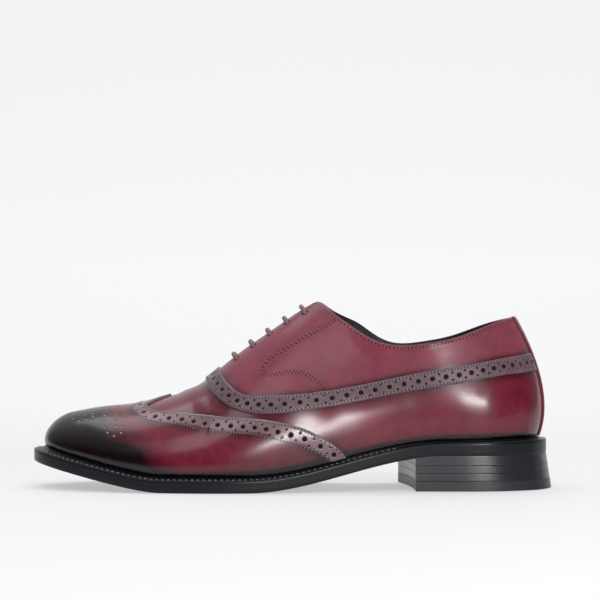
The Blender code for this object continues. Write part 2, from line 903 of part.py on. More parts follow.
def make_tongue(collection, material):
    start, end = [share_angle((share - RIDGE_START) / TOPLINE_SPAN, 0)
                  for share in (TONGUE_START, TONGUE_END)]
    between = [a for a in ANGLES if start + WALL_STEP < a < end - WALL_STEP]
    angles = [start] + between + [end]
    bm = bmesh.new()
    rows = [[bm.verts.new(point) for point in tongue_section(angle)] for angle in angles]
    for before, after in zip(rows, rows[1:]):
        for i in range(len(before) - 1):
            bm.faces.new((before[i], after[i], after[i + 1], before[i + 1]))
    return add_shell("tongue", bm, TONGUE_WALL, False, collection, material)


def bar_side(row, side, towards):
    """The lace from under the facing up through one eyelet and on to the bar's top.

    Its hidden run lies towards the next row, 1, or the one before, -1.
    """
    place, normal, inwards, along = eyelet_frame(row, side)
    over = LACE_RADIUS + LACE_CLEARANCE
    heights = {"under": -WALL - over, "within": -WALL, "over": over}
    return [place + normal * heights[level] * share
            + (inwards * inner + along * run * towards) * LACE_RADIUS
            for inner, run, level, share in LACE_STEPS]


def bar_middle(row, near, far):
    """Three points that carry a bar over the crown between its two sides."""
    ridge, along = row_on_ridge(row)
    normal = Vector((-along.z, 0, along.x))
    middle = ridge + normal * (LACE_RADIUS + LACE_CLEARANCE)
    lift = (middle - (near + far) / 2) * (1 - BAR_QUARTER)
    return [near.lerp(far, BAR_QUARTER) + lift, middle,
            far.lerp(near, BAR_QUARTER) + lift]


def lace_route():
    """Points of one lace whose bars cross straight over and whose runs lie hidden."""
    route = []
    last = EYELET_ROWS - 1
    for row in range(EYELET_ROWS):
        first_side = row % 2
        back, on = (-1 if row else 1), (1 if row < last else -1)
        rise = bar_side(row, first_side, back)
        fall = bar_side(row, 1 - first_side, on)[::-1]
        if row == 0:
            along = eyelet_frame(row, first_side)[3]
            route.append(rise[0] + along * LACE_END)
        route += rise + bar_middle(row, rise[-1], fall[0]) + fall
        if row == last:
            along = eyelet_frame(row, 1 - first_side)[3]
            route.append(fall[-1] - along * LACE_END)
    return route


def make_laces(collection, material):
    route = lace_route()
    curve = bpy.data.curves.new("lace_route", "CURVE")
    curve.dimensions = "3D"
    curve.bevel_depth = LACE_RADIUS
    curve.bevel_resolution = 2
    curve.use_fill_caps = True
    line = curve.splines.new("POLY")
    line.points.add(len(route) - 1)
    for point, place in zip(line.points, route):
        point.co = (*place, 1.0)
    cord = bpy.data.objects.new("lace_route", curve)
    collection.objects.link(cord)
    bpy.context.view_layer.update()
    evaluated = cord.evaluated_get(bpy.context.evaluated_depsgraph_get())
    bm = bmesh.new()
    bm.from_mesh(bpy.data.meshes.new_from_object(evaluated))
    bmesh.ops.remove_doubles(bm, verts=bm.verts, dist=WELD)
    bpy.data.objects.remove(cord)
    return finish_object("laces", bm, collection, material)


def main():
    for obj in list(bpy.data.objects):
        bpy.data.objects.remove(obj)
    shoe = new_collection("brogue_shoe")
    cutters = new_collection("cutters")
    burgundy = principled("burgundy_calf", BURGUNDY)
    burnished = principled("burnished_calf", BURNISHED)
    edge = principled("black_edge", BLACK_EDGE)
    heel_leather = principled("heel_leather", HEEL_LEATHER)
    rubber = principled("heel_rubber", RUBBER)
    lining = principled("lining_leather", LINING)
    cord = principled("waxed_cord", CORD)
    make_outsole(shoe, edge)
    make_welt(shoe, edge)
    make_rand(shoe, edge)
    make_heel(shoe, rubber, heel_leather)
    make_insole(shoe, lining)
    make_upper(shoe, cutters, burgundy)
    make_wing_cap(shoe, cutters, burgundy)
    make_band(shoe, cutters, burnished)
    make_back_strip(shoe, cutters, burgundy)
    make_tongue(shoe, lining)
    make_laces(shoe, cord)


main()
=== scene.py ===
"""Looks of the left full-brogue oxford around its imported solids."""

import math

import bpy
import numpy as np
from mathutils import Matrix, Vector
from mathutils.geometry import delaunay_2d_cdt
from mathutils.kdtree import KDTree


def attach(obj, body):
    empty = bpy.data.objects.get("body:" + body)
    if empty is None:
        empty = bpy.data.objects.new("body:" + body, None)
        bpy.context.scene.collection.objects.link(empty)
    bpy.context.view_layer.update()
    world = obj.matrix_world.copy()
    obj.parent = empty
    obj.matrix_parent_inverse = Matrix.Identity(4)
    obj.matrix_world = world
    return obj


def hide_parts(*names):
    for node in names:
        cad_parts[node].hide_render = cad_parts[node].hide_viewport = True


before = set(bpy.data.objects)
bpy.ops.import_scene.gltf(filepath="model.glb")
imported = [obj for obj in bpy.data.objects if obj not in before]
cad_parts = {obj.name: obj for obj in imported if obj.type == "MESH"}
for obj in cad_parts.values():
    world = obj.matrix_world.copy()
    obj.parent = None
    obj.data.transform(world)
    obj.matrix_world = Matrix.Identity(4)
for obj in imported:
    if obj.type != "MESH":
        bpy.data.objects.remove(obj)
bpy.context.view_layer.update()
MM = 0.001

# The last and the sole, the same sizes as in the part
GAP = 0.0003
LAST_LENGTH = 0.2894
BALL_WIDTH = 0.0905
INSTEP_HEIGHT = 0.0955
HEEL_BACK_X = 0.0330
TOE_SWING = 0.0030
WALL = 0.0022
OVERLAY_WALL = 0.0010
STRIP_HALF_WIDTH = 0.0060
EYELET_RADIUS = 0.0018
EYELET_ROWS = 5
EYELET_SPREAD = 0.0095
LACE_RADIUS = 0.0013
LACE_CLEARANCE = 0.0004
LACE_END = 0.0060
OUTSOLE = 0.0045
WELT = 0.0024
WELT_CROWN = 0.0022
HEEL_CROWN = 0.0010
RAND_WEDGE = 0.0016
SOLE_REACH = 0.0078
INSOLE_STEP = 0.0010
TOE_SPRING = 0.0156
SPRING_LENGTH = 0.0768
SPRING_EASE = 0.25
HEEL_HEIGHT = 0.0200
SEAT_RAMP = 0.1120
SEAT_REACH = 0.0206
TOP_PIECE = 0.0056
LIFT = 0.0041
LIFT_COUNT = 2
HEEL_FLARE_BACK = 0.0030
HEEL_FLARE_SIDE = 0.0012
FLARE_POWER = 4
BREAST_HOLLOW = 0.0022
RIDGE_START = 0.057
TOPLINE_SPAN = 0.895
VAMP_POINT = 0.355
FIRST_EYELET = 0.384
LAST_EYELET = 0.5214
BREAST_LATERAL = 0.734
WELT_END = 0.727
HEEL_FRONT_LATERAL = 0.7455
HEEL_FRONT_MEDIAL = 0.7230
TONGUE_START = 0.294
TONGUE_FREE = 0.345
TONGUE_END = 0.545
TONGUE_WALL = 0.0020
TONGUE_EDGE = 0.71
SWING_END = 0.95
TOE_FULLNESS = 0.608
HEEL_FULLNESS = 0.685

# Threads, needle holes, punched holes and strips, and how far in from an edge they lie
STITCH_PITCH = 0.00215
STITCH_LENGTH = 0.00125
STITCH_RADIUS = 0.00021
COLLAR_STITCH_RADIUS = 0.00018
NEEDLE_RADIUS = 0.00044
NEEDLE_SQUASH = 0.35
NEEDLE_LENGTH = 0.0008
WELT_STITCH_IN = 0.0023
WELT_STITCH_PITCH = 0.0034
WELT_STITCH_LENGTH = 0.0023
WELT_STITCH_RADIUS = 0.00034
FACING_ROW_IN = 0.0013
COLLAR_ROW_IN = 0.0019
COLLAR_ROW_START = 0.575
WING_ROW_IN = 0.0013
WING_SECOND_ROW_IN = 0.0083
BAND_ROW_IN = 0.0012
BAND_SECOND_ROW_IN = 0.0027
STRIP_START = 0.004
HOLE_PITCH = 0.0088
BIG_HOLE = 0.00130
PINHOLE = 0.0005
PINHOLES_APART = 0.0021
WING_STRIP = 0.0080
WING_STRIP_FULL = 0.0076
WING_HOLES_IN = 0.0047
WING_PEAK = 0.2535
MEDALLION_FRONT = -0.2430
FLOOR_IN = 0.0014
FLOOR_REACH = 0.0090
DISC_DEPTH = 0.00022

# The sole edge's rounding and the rise of welt and rand to the feather line
WELT_ROUND = 0.00055
WELT_CURVE = 2.2

# Fineness of the panels, and how far they reach into the skin below
PANEL_SPACING = 0.0014
UPPER_SPACING = 0.0015
EDGE_SPACING = 0.0010
UNDER = -0.00005

# Share from the toe, lateral and medial half width as shares of the ball width
FEATHER_ROWS = (
    (0.050, 0.256, 0.241), (0.112, 0.3635, 0.349), (0.195, 0.4575, 0.432),
    (0.292, 0.517, 0.470), (0.385, 0.526, 0.4265), (0.499, 0.466, 0.306),
    (0.612, 0.400, 0.250), (0.723, 0.356, 0.280), (0.826, 0.349, 0.323),
    (0.912, 0.315, 0.307), (0.971, 0.221, 0.221),
)
# Share from the toe, lateral and medial reach of the sole edge
REACH_ROWS = (
    (0.00, 1.00, 1.00), (0.20, 0.84, 0.84), (0.35, 0.80, 0.76), (0.50, 0.62, 0.46),
    (0.65, 0.50, 0.42), (0.80, 0.52, 0.48), (1.00, 0.67, 0.67),
)
# Share from the toe, height of ridge or collar, and the medial collar's rise
TOPLINE_ROWS = (
    (0.057, 0.247, 0.000), (0.097, 0.297, 0.000), (0.128, 0.331, 0.000),
    (0.162, 0.361, 0.000), (0.226, 0.432, 0.000), (0.292, 0.503, 0.000),
    (0.325, 0.560, 0.000), (0.357, 0.638, 0.000), (0.406, 0.754, 0.000),
    (0.471, 0.880, 0.000), (0.537, 0.977, 0.000), (0.553, 0.982, 0.003),
    (0.578, 0.913, 0.012), (0.619, 0.787, 0.037), (0.659, 0.679, 0.034),
    (0.700, 0.614, 0.009), (0.760, 0.590, 0.000), (0.836, 0.626, 0.000),
    (0.908, 0.702, 0.000), (0.952, 0.735, 0.000),
)
# Share from the toe and half opening of throat and collar
OPENING_ROWS = (
    (0.355, 0.0045), (0.470, 0.026), (0.536, 0.039), (0.553, 0.052), (0.577, 0.129),
    (0.619, 0.234), (0.660, 0.303), (0.720, 0.360), (0.800, 0.418), (0.878, 0.451),
    (0.952, 0.455),
)
# Share around, lower handle's rise, lateral and medial bulge, crown's reach, edge lean
WALL_ROWS = (
    (0.00, 0.35, 0.026, 0.026, 0.120, 0.0), (0.12, 0.35, 0.039, 0.039, 0.243, 0.0),
    (0.27, 0.28, 0.055, 0.052, 0.330, 0.0), (0.40, 0.30, 0.050, 0.060, 0.298, 3.0),
    (0.52, 0.32, 0.040, 0.066, 0.290, 14.0), (0.57, 0.32, 0.039, 0.065, 0.262, 45.0),
    (0.62, 0.32, 0.039, 0.062, 0.222, 68.0), (0.75, 0.33, 0.039, 0.055, 0.199, 84.0),
    (0.90, 0.30, 0.048, 0.048, 0.250, 76.0), (1.00, 0.26, 0.080, 0.080, 0.350, 61.0),
)
# Wing edge and band edges in the side view: share from the toe, height over the feather
# line as a share of the instep
WING_ROWS = (
    (0.207, 0.395), (0.211, 0.381), (0.223, 0.371), (0.288, 0.361), (0.385, 0.342),
    (0.438, 0.333), (0.480, 0.300), (0.531, 0.227), (0.557, 0.167), (0.584, 0.097),
    (0.625, -0.120),
)
BAND_TOP_ROWS = (
    (0.367, 0.561), (0.389, 0.499), (0.406, 0.475), (0.427, 0.468), (0.464, 0.465),
    (0.517, 0.451), (0.571, 0.432), (0.636, 0.415), (0.700, 0.411), (0.764, 0.420),
    (0.848, 0.448), (0.905, 0.476), (1.050, 0.530),
)
BAND_BOTTOM_ROWS = (
    (0.334, 0.510), (0.357, 0.442), (0.384, 0.397), (0.411, 0.374), (0.438, 0.364),
    (0.517, 0.350), (0.596, 0.330), (0.700, 0.313), (0.764, 0.318), (0.848, 0.347),
    (0.905, 0.375), (1.050, 0.410),
)
# Where wing and band meet the ridge, and three places of the lateral wing next to it
WING_TIP = ((-0.1862, 0.0001), (-0.1900, -0.0022), (-0.1942, -0.0058))
BAND_TOP_PEAK = 0.3535
BAND_BOTTOM_PEAK = 0.3245


def spline(rows, column=1):
    """The natural cubic through one column of a table, for arrays of places."""
    at = np.array([row[0] for row in rows], float)
    value = np.array([row[column] for row in rows], float)
    step = np.diff(at)
    count = len(at)
    system = np.eye(count)
    bend = np.zeros(count)
    for i in range(1, count - 1):
        system[i, i - 1:i + 2] = (step[i - 1], 2 * (step[i - 1] + step[i]), step[i])
        bend[i] = 6 * ((value[i + 1] - value[i]) / step[i]
                       - (value[i] - value[i - 1]) / step[i - 1])
    curve = np.linalg.solve(system, bend)

    def evaluate(x):
        x = np.asarray(x, float)
        i = np.clip(np.searchsorted(at, x) - 1, 0, count - 2)
        before, after, h = at[i + 1] - x, x - at[i], step[i]
        cubic = (curve[i] * before ** 3 + curve[i + 1] * after ** 3) / (6 * h)
        linear = (value[i] / h - curve[i] * h / 6) * before
        return cubic + linear + (value[i + 1] / h - curve[i + 1] * h / 6) * after

    return evaluate


def smoothstep(x):
    x = np.clip(x, 0.0, 1.0)
    return x * x * (3 - 2 * x)


TOE_X = HEEL_BACK_X - LAST_LENGTH
SOLE_TIP_X = TOE_X - SOLE_REACH
TREAD_FRONT_X = SOLE_TIP_X + SPRING_LENGTH
BREAST_X = TOE_X + LAST_LENGTH * BREAST_LATERAL
TREAD_BACK_X = BREAST_X + SEAT_REACH - SEAT_RAMP

feather_widths = (spline(FEATHER_ROWS, 1), spline(FEATHER_ROWS, 2))
reach_shares = (spline(REACH_ROWS, 1), spline(REACH_ROWS, 2))
topline_height = spline(TOPLINE_ROWS, 1)
medial_rise = spline(TOPLINE_ROWS, 2)
opening = spline(OPENING_ROWS)
handle_rise = spline(WALL_ROWS, 1)
bulges = (spline(WALL_ROWS, 2), spline(WALL_ROWS, 3))
crown_reach = spline(WALL_ROWS, 4)
edge_lean = spline(WALL_ROWS, 5)


def share_around(angle):
    return (1 - np.cos(angle)) / 2


def angle_at(share):
    """The lateral angle at which the outline has gone a share of the last."""
    return math.acos(1 - 2 * share)


def ridge_angle(share):
    """The lateral angle whose section starts from a share of ridge and collar."""
    return angle_at((share - RIDGE_START) / TOPLINE_SPAN)


def is_medial(angle):
    return np.sin(angle) < -1e-12


def underside_z(x):
    spring = np.maximum(0.0, (TREAD_FRONT_X - x) / SPRING_LENGTH)
    toe = TOE_SPRING * (1 + SPRING_EASE) * spring * spring / (spring + SPRING_EASE)
    return toe + HEEL_HEIGHT * smoothstep((x - TREAD_BACK_X) / SEAT_RAMP)


def welt_base_z(x):
    return underside_z(x) + OUTSOLE + GAP


def welt_edge_z(x):
    wedge = RAND_WEDGE * smoothstep((x - BREAST_X) / (HEEL_BACK_X - BREAST_X))
    return welt_base_z(x) + WELT + wedge


def crown_height(x):
    back = smoothstep((x - TREAD_BACK_X) / (HEEL_BACK_X - TREAD_BACK_X))
    return WELT_CROWN + (HEEL_CROWN - WELT_CROWN) * back


def feather_z(x):
    return welt_edge_z(x) + crown_height(x) + GAP


def centre_line(share):
    return TOE_SWING * (1 - smoothstep(share / SWING_END))


def pick(medial, lateral_value, medial_value):
    return np.where(medial, medial_value, lateral_value)


def feather_fullness(share, medial):
    low, high = FEATHER_ROWS[0][0], FEATHER_ROWS[-1][0]
    inside = np.clip(share, low, high)
    width = pick(medial, feather_widths[0](inside), feather_widths[1](inside))
    full = width / (2 * np.sqrt(inside * (1 - inside)))
    toe = full + (TOE_FULLNESS - full) * (1 - share / low)
    heel = full + (HEEL_FULLNESS - full) * (share - high) / (1 - high)
    full = np.where(share < low, toe, np.where(share > high, heel, full))
    return full * BALL_WIDTH


def feather_plan(angle):
    share = share_around(angle)
    y = centre_line(share) - np.sin(angle) * feather_fullness(share, is_medial(angle))
    return np.stack((TOE_X + LAST_LENGTH * share, y, np.zeros_like(y)), -1)


def unit(v):
    return v / np.maximum(np.linalg.norm(v, axis=-1, keepdims=True), 1e-12)


def run_along(line):
    """The way run from a polyline's start to each of its points."""
    steps = np.linalg.norm(np.diff(line, axis=0), axis=1)
    return np.concatenate(([0], np.cumsum(steps)))


def place_along(line, run, at):
    """Places on a polyline at given runs."""
    return np.stack([np.interp(at, run, line[:, k]) for k in range(line.shape[1])], -1)


def plan_normal(angle, step=0.002):
    along = feather_plan(angle + step) - feather_plan(angle - step)
    return unit(np.stack((along[..., 1], -along[..., 0], 0 * along[..., 0]), -1))


def sole_reach(angle):
    share = share_around(angle)
    return SOLE_REACH * pick(is_medial(angle), reach_shares[0](share), reach_shares[1](share))


def outline_points(angle, offset):
    return feather_plan(angle) + plan_normal(angle) * np.asarray(offset)[..., None]


def seam_z(angle):
    x = outline_points(angle, sole_reach(angle))[..., 0]
    return welt_edge_z(x) + crown_height(x)


def top_share(angle):
    return RIDGE_START + TOPLINE_SPAN * share_around(angle)


def topline_z(share, medial):
    x = TOE_X + LAST_LENGTH * share
    rise = topline_height(share) + np.where(medial, medial_rise(share), 0.0)
    return feather_z(x) + INSTEP_HEIGHT * rise


def topline_point(angle):
    share = top_share(angle)
    medial = is_medial(angle)
    half = BALL_WIDTH * opening(share)
    half = np.where(share_around(angle) > 0.5, half * np.abs(np.sin(angle)), half)
    half = np.where(share <= VAMP_POINT, 0.0, half)
    y = centre_line(share) + pick(medial, -half, half)
    return np.stack((TOE_X + LAST_LENGTH * share, y, topline_z(share, medial)), -1)


def ridge_slope(share, step=0.002):
    rise = topline_z(share + step, False) - topline_z(share - step, False)
    return rise / (2 * step * LAST_LENGTH)


def wall_handles(angle):
    share = share_around(angle)
    medial = is_medial(angle)
    foot = feather_plan(angle)
    foot[..., 2] = seam_z(angle) + GAP
    top = topline_point(angle)
    low = foot + plan_normal(angle) * (
        pick(medial, bulges[0](share), bulges[1](share)) * BALL_WIDTH)[..., None]
    low[..., 2] += handle_rise(share) * (top[..., 2] - foot[..., 2])
    out = foot - top
    out[..., 2] = 0
    out = unit(out)
    lean = np.radians(np.maximum(0.0, edge_lean(share)))
    tilt = np.cos(lean)
    out[..., 2] = out[..., 0] * ridge_slope(top_share(angle)) * tilt ** 2
    leave = unit(out) * tilt[..., None]
    leave[..., 2] -= np.sin(lean)
    high = top + leave * (crown_reach(share) * BALL_WIDTH)[..., None]
    return foot, low, high, top


def skin(angle, t):
    """Points of the upper's skin at arrays of angles and heights."""
    angle, t = np.broadcast_arrays(np.asarray(angle, float), np.asarray(t, float))
    foot, low, high, top = wall_handles(angle)
    t = t[..., None]
    s = 1 - t
    return foot * s ** 3 + low * 3 * s * s * t + high * 3 * s * t * t + top * t ** 3


def skin_normal(angle, t, step=0.004):
    angle, t = np.broadcast_arrays(np.asarray(angle, float), np.asarray(t, float))
    low, high = np.maximum(0.0, t - step), np.minimum(1.0, t + step)
    around = skin(angle + step, t) - skin(angle - step, t)
    up = skin(angle, high) - skin(angle, low)
    normal = unit(np.cross(around, up))
    slope = ridge_slope(top_share(angle))
    ridge = unit(np.stack((-slope, np.zeros_like(slope), np.ones_like(slope)), -1))
    on_ridge = (t > 0.999) & (top_share(angle) <= VAMP_POINT)
    return np.where(on_ridge[..., None], ridge, normal)


# The wall laid out flat: each section is unrolled from the ridge or topline outwards
AROUND = 1440
UP = 240
table_angle = np.linspace(-math.pi, math.pi, AROUND + 1)
table_t = np.linspace(0.0, 1.0, UP + 1)
table_skin = skin(table_angle[:, None], table_t[None, :])
table_top = table_skin[:, -1, :2]
table_run = np.linalg.norm(np.diff(table_skin, axis=1), axis=-1)
table_girth = np.concatenate((np.cumsum(table_run[:, ::-1], axis=1)[:, ::-1],
                              np.zeros((AROUND + 1, 1))), axis=1)
table_ahead = unit(table_skin[:, 0, :2] - table_top)
table_fan = np.clip((np.abs(table_angle) - 2.0) / (math.pi - 2.0), 0, 1)
table_fan = math.pi / 4 * table_fan ** 2 * (3 - table_fan)
table_behind = np.stack((np.sin(table_fan), np.where(table_angle >= 0, -1, 1)
                         * np.cos(table_fan)), -1)
table_blend = smoothstep((share_around(table_angle) - 0.35) / 0.15)[:, None]
table_way = unit(table_ahead * (1 - table_blend) + table_behind * table_blend)
table_way[AROUND // 2] = (-1.0, 0.0)


def wrap(angle):
    return (np.asarray(angle) + math.pi) % (2 * math.pi) - math.pi


def between(angle):
    place = (np.clip(wrap(angle), -math.pi, math.pi) + math.pi) / (2 * math.pi) * AROUND
    i = np.clip(place.astype(int), 0, AROUND - 1)
    return i, place - i


def flat(angle, t):
    """Place on the flat layout for an angle and a height share."""
    i, f = between(angle)
    place = np.clip(t, 0, 1) * UP
    j = np.clip(place.astype(int), 0, UP - 1)
    g = place - j
    girth = ((table_girth[i, j] * (1 - g) + table_girth[i, j + 1] * g) * (1 - f)
             + (table_girth[i + 1, j] * (1 - g) + table_girth[i + 1, j + 1] * g) * f)
    top = table_top[i] * (1 - f)[..., None] + table_top[i + 1] * f[..., None]
    way = unit(table_way[i] * (1 - f)[..., None] + table_way[i + 1] * f[..., None])
    return top + way * girth[..., None]


def unflat(points):
    """Angle and height share for places on the flat layout."""
    points = np.asarray(points, float)
    angle = np.empty(len(points))
    t = np.empty(len(points))
    reversed_t = table_t[::-1]
    for start in range(0, len(points), 2000):
        chunk = points[start:start + 2000]
        away = chunk[:, None, :] - table_top[None]
        side = away[..., 0] * table_way[None, :, 1] - away[..., 1] * table_way[None, :, 0]
        ahead = (away * table_way[None]).sum(-1)
        before, after = side[:, :-1], side[:, 1:]
        span = np.where(np.abs(before - after) < 1e-15, 1.0, before - after)
        part = np.clip(before / span, 0, 1)
        along = ahead[:, :-1] * (1 - part) + ahead[:, 1:] * part
        cross = (before * after <= 0) & (along > -6e-4)
        i = np.argmin(np.where(cross, np.abs(along), 1e9), axis=1)
        rows = np.arange(len(chunk))
        f = part[rows, i]
        angle[start:start + 2000] = table_angle[i] + f * (table_angle[1] - table_angle[0])
        girth = along[rows, i]
        for k in rows:
            row = table_girth[i[k]] * (1 - f[k]) + table_girth[i[k] + 1] * f[k]
            t[start + k] = np.interp(girth[k], row[::-1], reversed_t)
    return angle, np.clip(t, 0.0, 1.0)


def side_place(share, rise, medial):
    """Angle and height share of a place that the side view gives."""
    x = TOE_X + LAST_LENGTH * share
    z = feather_z(x) + INSTEP_HEIGHT * rise
    half = slice(0, AROUND // 2 + 1) if medial else slice(AROUND // 2, AROUND + 1)
    angles = table_angle[half]
    at = np.empty(UP + 1)
    height = np.empty(UP + 1)
    for j in range(UP + 1):
        xs, zs = table_skin[half, j, 0], table_skin[half, j, 2]
        order = slice(None, None, -1) if medial else slice(None)
        at[j] = np.interp(x, xs[order], angles[order])
        height[j] = np.interp(x, xs[order], zs[order])
    t = float(np.interp(z, height, table_t))
    return float(np.interp(t, table_t, at)), t


# Materials
def material(name, colour, roughness, coat=0.0, coat_roughness=0.1, specular=0.5):
    made = bpy.data.materials.new(name)
    made.use_nodes = True
    nodes = made.node_tree.nodes
    shader = nodes["Principled BSDF"]
    shader.inputs["Base Color"].default_value = (*colour, 1.0)
    shader.inputs["Roughness"].default_value = roughness
    shader.inputs["Coat Weight"].default_value = coat
    shader.inputs["Coat Roughness"].default_value = coat_roughness
    shader.inputs["Specular IOR Level"].default_value = specular
    return made, made.node_tree, shader


def add_node(tree, kind, inputs=(), **settings):
    made = tree.nodes.new(kind)
    for key, value in settings.items():
        setattr(made, key, value)
    for key, value in dict(inputs).items():
        if isinstance(value, bpy.types.NodeSocket):
            tree.links.new(value, made.inputs[key])
        else:
            made.inputs[key].default_value = value
    return made


def ramp(tree, factor, stops):
    made = add_node(tree, "ShaderNodeValToRGB", {"Fac": factor})
    while len(made.color_ramp.elements) < len(stops):
        made.color_ramp.elements.new(0.5)
    for element, (place, colour) in zip(made.color_ramp.elements, stops):
        element.position = place
        element.color = (*colour, 1.0) if len(colour) == 3 else (*colour * 3, 1.0)
    return made.outputs["Color"]


def blend(tree, factor, first, second, kind="MIX"):
    """A mix of two colours, each a socket or a plain colour."""
    made = add_node(tree, "ShaderNodeMix", data_type="RGBA", blend_type=kind)
    sockets = [made.inputs[0]] + [s for s in made.inputs if s.type == "RGBA"]
    for socket, value in zip(sockets, (factor, first, second)):
        if isinstance(value, bpy.types.NodeSocket):
            tree.links.new(value, socket)
        else:
            socket.default_value = value
    return [s for s in made.outputs if s.type == "RGBA"][0]


def leather(name, pale, deep, dark, painted_sheen, roughness, coat, coat_roughness):
    """Polished calf with patina and grain, after its mesh's shade (burnish, painted shade),
    painted sheen and dull.
    """
    made, tree, shader = material(name, pale, roughness, coat, coat_roughness, 0.20)
    shade, sheen_share, dull = [add_node(tree, "ShaderNodeAttribute", attribute_name=key)
                         .outputs["Fac"] for key in ("shade", "painted_sheen", "dull")]
    place = add_node(tree, "ShaderNodeTexCoord").outputs["Object"]
    clouds = add_node(tree, "ShaderNodeTexNoise", {"Vector": place, "Scale": 26.0,
                                                   "Detail": 6.0, "Roughness": 0.62})
    streaks = add_node(tree, "ShaderNodeTexNoise", {"Vector": place, "Scale": 190.0,
                                                    "Detail": 4.0, "Roughness": 0.7})
    patina = ramp(tree, clouds.outputs["Fac"], ((0.34, deep), (0.66, pale)))
    mottle = ramp(tree, streaks.outputs["Fac"], ((0.35, (0.80, 0.80, 0.80)),
                                                 (0.68, (1.12, 1.10, 1.10))))
    # Darkness from the mesh's shade, made patchy by clouds: burnish, and painted shade
    wander = add_node(tree, "ShaderNodeMath", {0: clouds.outputs["Fac"], 1: 0.5},
                      operation="SUBTRACT")
    patchy_burnish_and_shade = add_node(tree, "ShaderNodeMath", {0: wander.outputs[0], 1: 0.55, 2: shade},
                      operation="MULTIPLY_ADD", use_clamp=True)
    base = blend(tree, 1.0, patina, mottle, "MULTIPLY")
    burnt_and_shaded = blend(tree, patchy_burnish_and_shade.outputs[0], base, (*dark, 1.0))
    # Mix in a pale grey-mauve painted sheen: a haze of reflected light
    sheened = blend(tree, sheen_share, burnt_and_shaded, (*painted_sheen, 1.0))
    tree.links.new(sheened, shader.inputs["Base Color"])
    pores = add_node(tree, "ShaderNodeTexVoronoi", {"Vector": place, "Scale": 1500.0})
    fine = add_node(tree, "ShaderNodeTexNoise", {"Vector": place, "Scale": 900.0,
                                                 "Detail": 3.0})
    mixed = add_node(tree, "ShaderNodeMath", {0: pores.outputs["Distance"],
                                              1: fine.outputs["Fac"]}, operation="ADD")
    bump = add_node(tree, "ShaderNodeBump", {"Height": mixed.outputs[0],
                                             "Strength": 0.12, "Distance": 0.0002})
    tree.links.new(bump.outputs["Normal"], shader.inputs["Normal"])
    gloss = ramp(tree, streaks.outputs["Fac"], ((0.3, (roughness * 0.85,)),
                                                (0.7, (roughness * 1.2,))))
    calm = add_node(tree, "ShaderNodeMapRange", {0: patchy_burnish_and_shade.outputs[0], 3: 1.0, 4: 0.62})
    rough = add_node(tree, "ShaderNodeMath", {0: gloss, 1: calm.outputs[0]},
                     operation="MULTIPLY")
    tree.links.new(rough.outputs[0], shader.inputs["Roughness"])
    wax = add_node(tree, "ShaderNodeMapRange", {0: dull, 3: coat, 4: coat * 0.35})
    tree.links.new(wax.outputs[0], shader.inputs["Coat Weight"])
    return made


def plain_look(name, colour, roughness, scale, strength, coat=0.0, contrast=0.25,
               stretch=(1, 1, 1), coat_roughness=0.15, specular=0.5):
    """A plain material with its own mottle and bump."""
    made, tree, shader = material(name, colour, roughness, coat, coat_roughness,
                                  specular)
    place = add_node(tree, "ShaderNodeTexCoord").outputs["Object"]
    turned = add_node(tree, "ShaderNodeMapping", {"Vector": place, "Scale": stretch})
    noise = add_node(tree, "ShaderNodeTexNoise", {"Vector": turned.outputs[0],
                                                  "Scale": scale, "Detail": 5.0,
                                                  "Roughness": 0.65})
    low = tuple(c * (1 - contrast) for c in colour)
    high = tuple(c * (1 + contrast) for c in colour)
    tint = ramp(tree, noise.outputs["Fac"], ((0.3, low), (0.7, high)))
    tree.links.new(tint, shader.inputs["Base Color"])
    bump = add_node(tree, "ShaderNodeBump", {"Height": noise.outputs["Fac"],
                                             "Strength": strength, "Distance": 0.0003})
    tree.links.new(bump.outputs["Normal"], shader.inputs["Normal"])
    return made


# Leathers: pale, deep, the near-black of burnish and painted shade, a pale grey-mauve painted
# sheen, roughness, coat, coat roughness
CALF = leather("calf", (0.280, 0.016, 0.049), (0.150, 0.007, 0.021), (0.0050, 0.0008, 0.0018),
               (0.190, 0.120, 0.140), 0.40, 0.60, 0.18)
BURNISHED = leather("burnished_calf", (0.215, 0.130, 0.152), (0.130, 0.076, 0.090),
                    (0.020, 0.012, 0.015), (0.150, 0.096, 0.112), 0.42, 0.35, 0.30)
EDGE = plain_look("sole_edge", (0.0055, 0.0065, 0.009), 0.36, 300.0, 0.12, 0.12,
                  stretch=(1, 1, 4), specular=0.20)
STACK = plain_look("heel_stack", (0.009, 0.011, 0.015), 0.34, 60.0, 0.10, 0.25,
                   stretch=(0.3, 0.3, 30))
RUBBER = plain_look("heel_rubber", (0.012, 0.014, 0.018), 0.46, 60.0, 0.10, 0.1,
                    stretch=(0.3, 0.3, 30))
LINING = plain_look("lining", (0.016, 0.014, 0.014), 0.60, 400.0, 0.35)
SOCK = plain_look("sock", (0.020, 0.017, 0.016), 0.55, 350.0, 0.3)
CORD = plain_look("lace_cord", (0.205, 0.125, 0.130), 0.60, 900.0, 0.4)
RED_THREAD = plain_look("red_thread", (0.260, 0.110, 0.130), 0.65, 900.0, 0.3)
PALE_THREAD = plain_look("pale_thread", (0.300, 0.235, 0.250), 0.65, 900.0, 0.3)
WELT_THREAD = plain_look("welt_thread", (0.15, 0.145, 0.145), 0.45, 900.0, 0.3)
# Matte near-black painted shade for hole floors and needle holes, which lie in shadow
HOLE_SHADE = plain_look("painted_hole_shade", (0.006, 0.003, 0.003), 0.90, 300.0, 0.2)
# Pale painted highlight for the toe pattern's holes
MEDALLION_GLINT = plain_look("painted_medallion_glint", (0.42, 0.27, 0.28), 0.55, 500.0, 0.2)


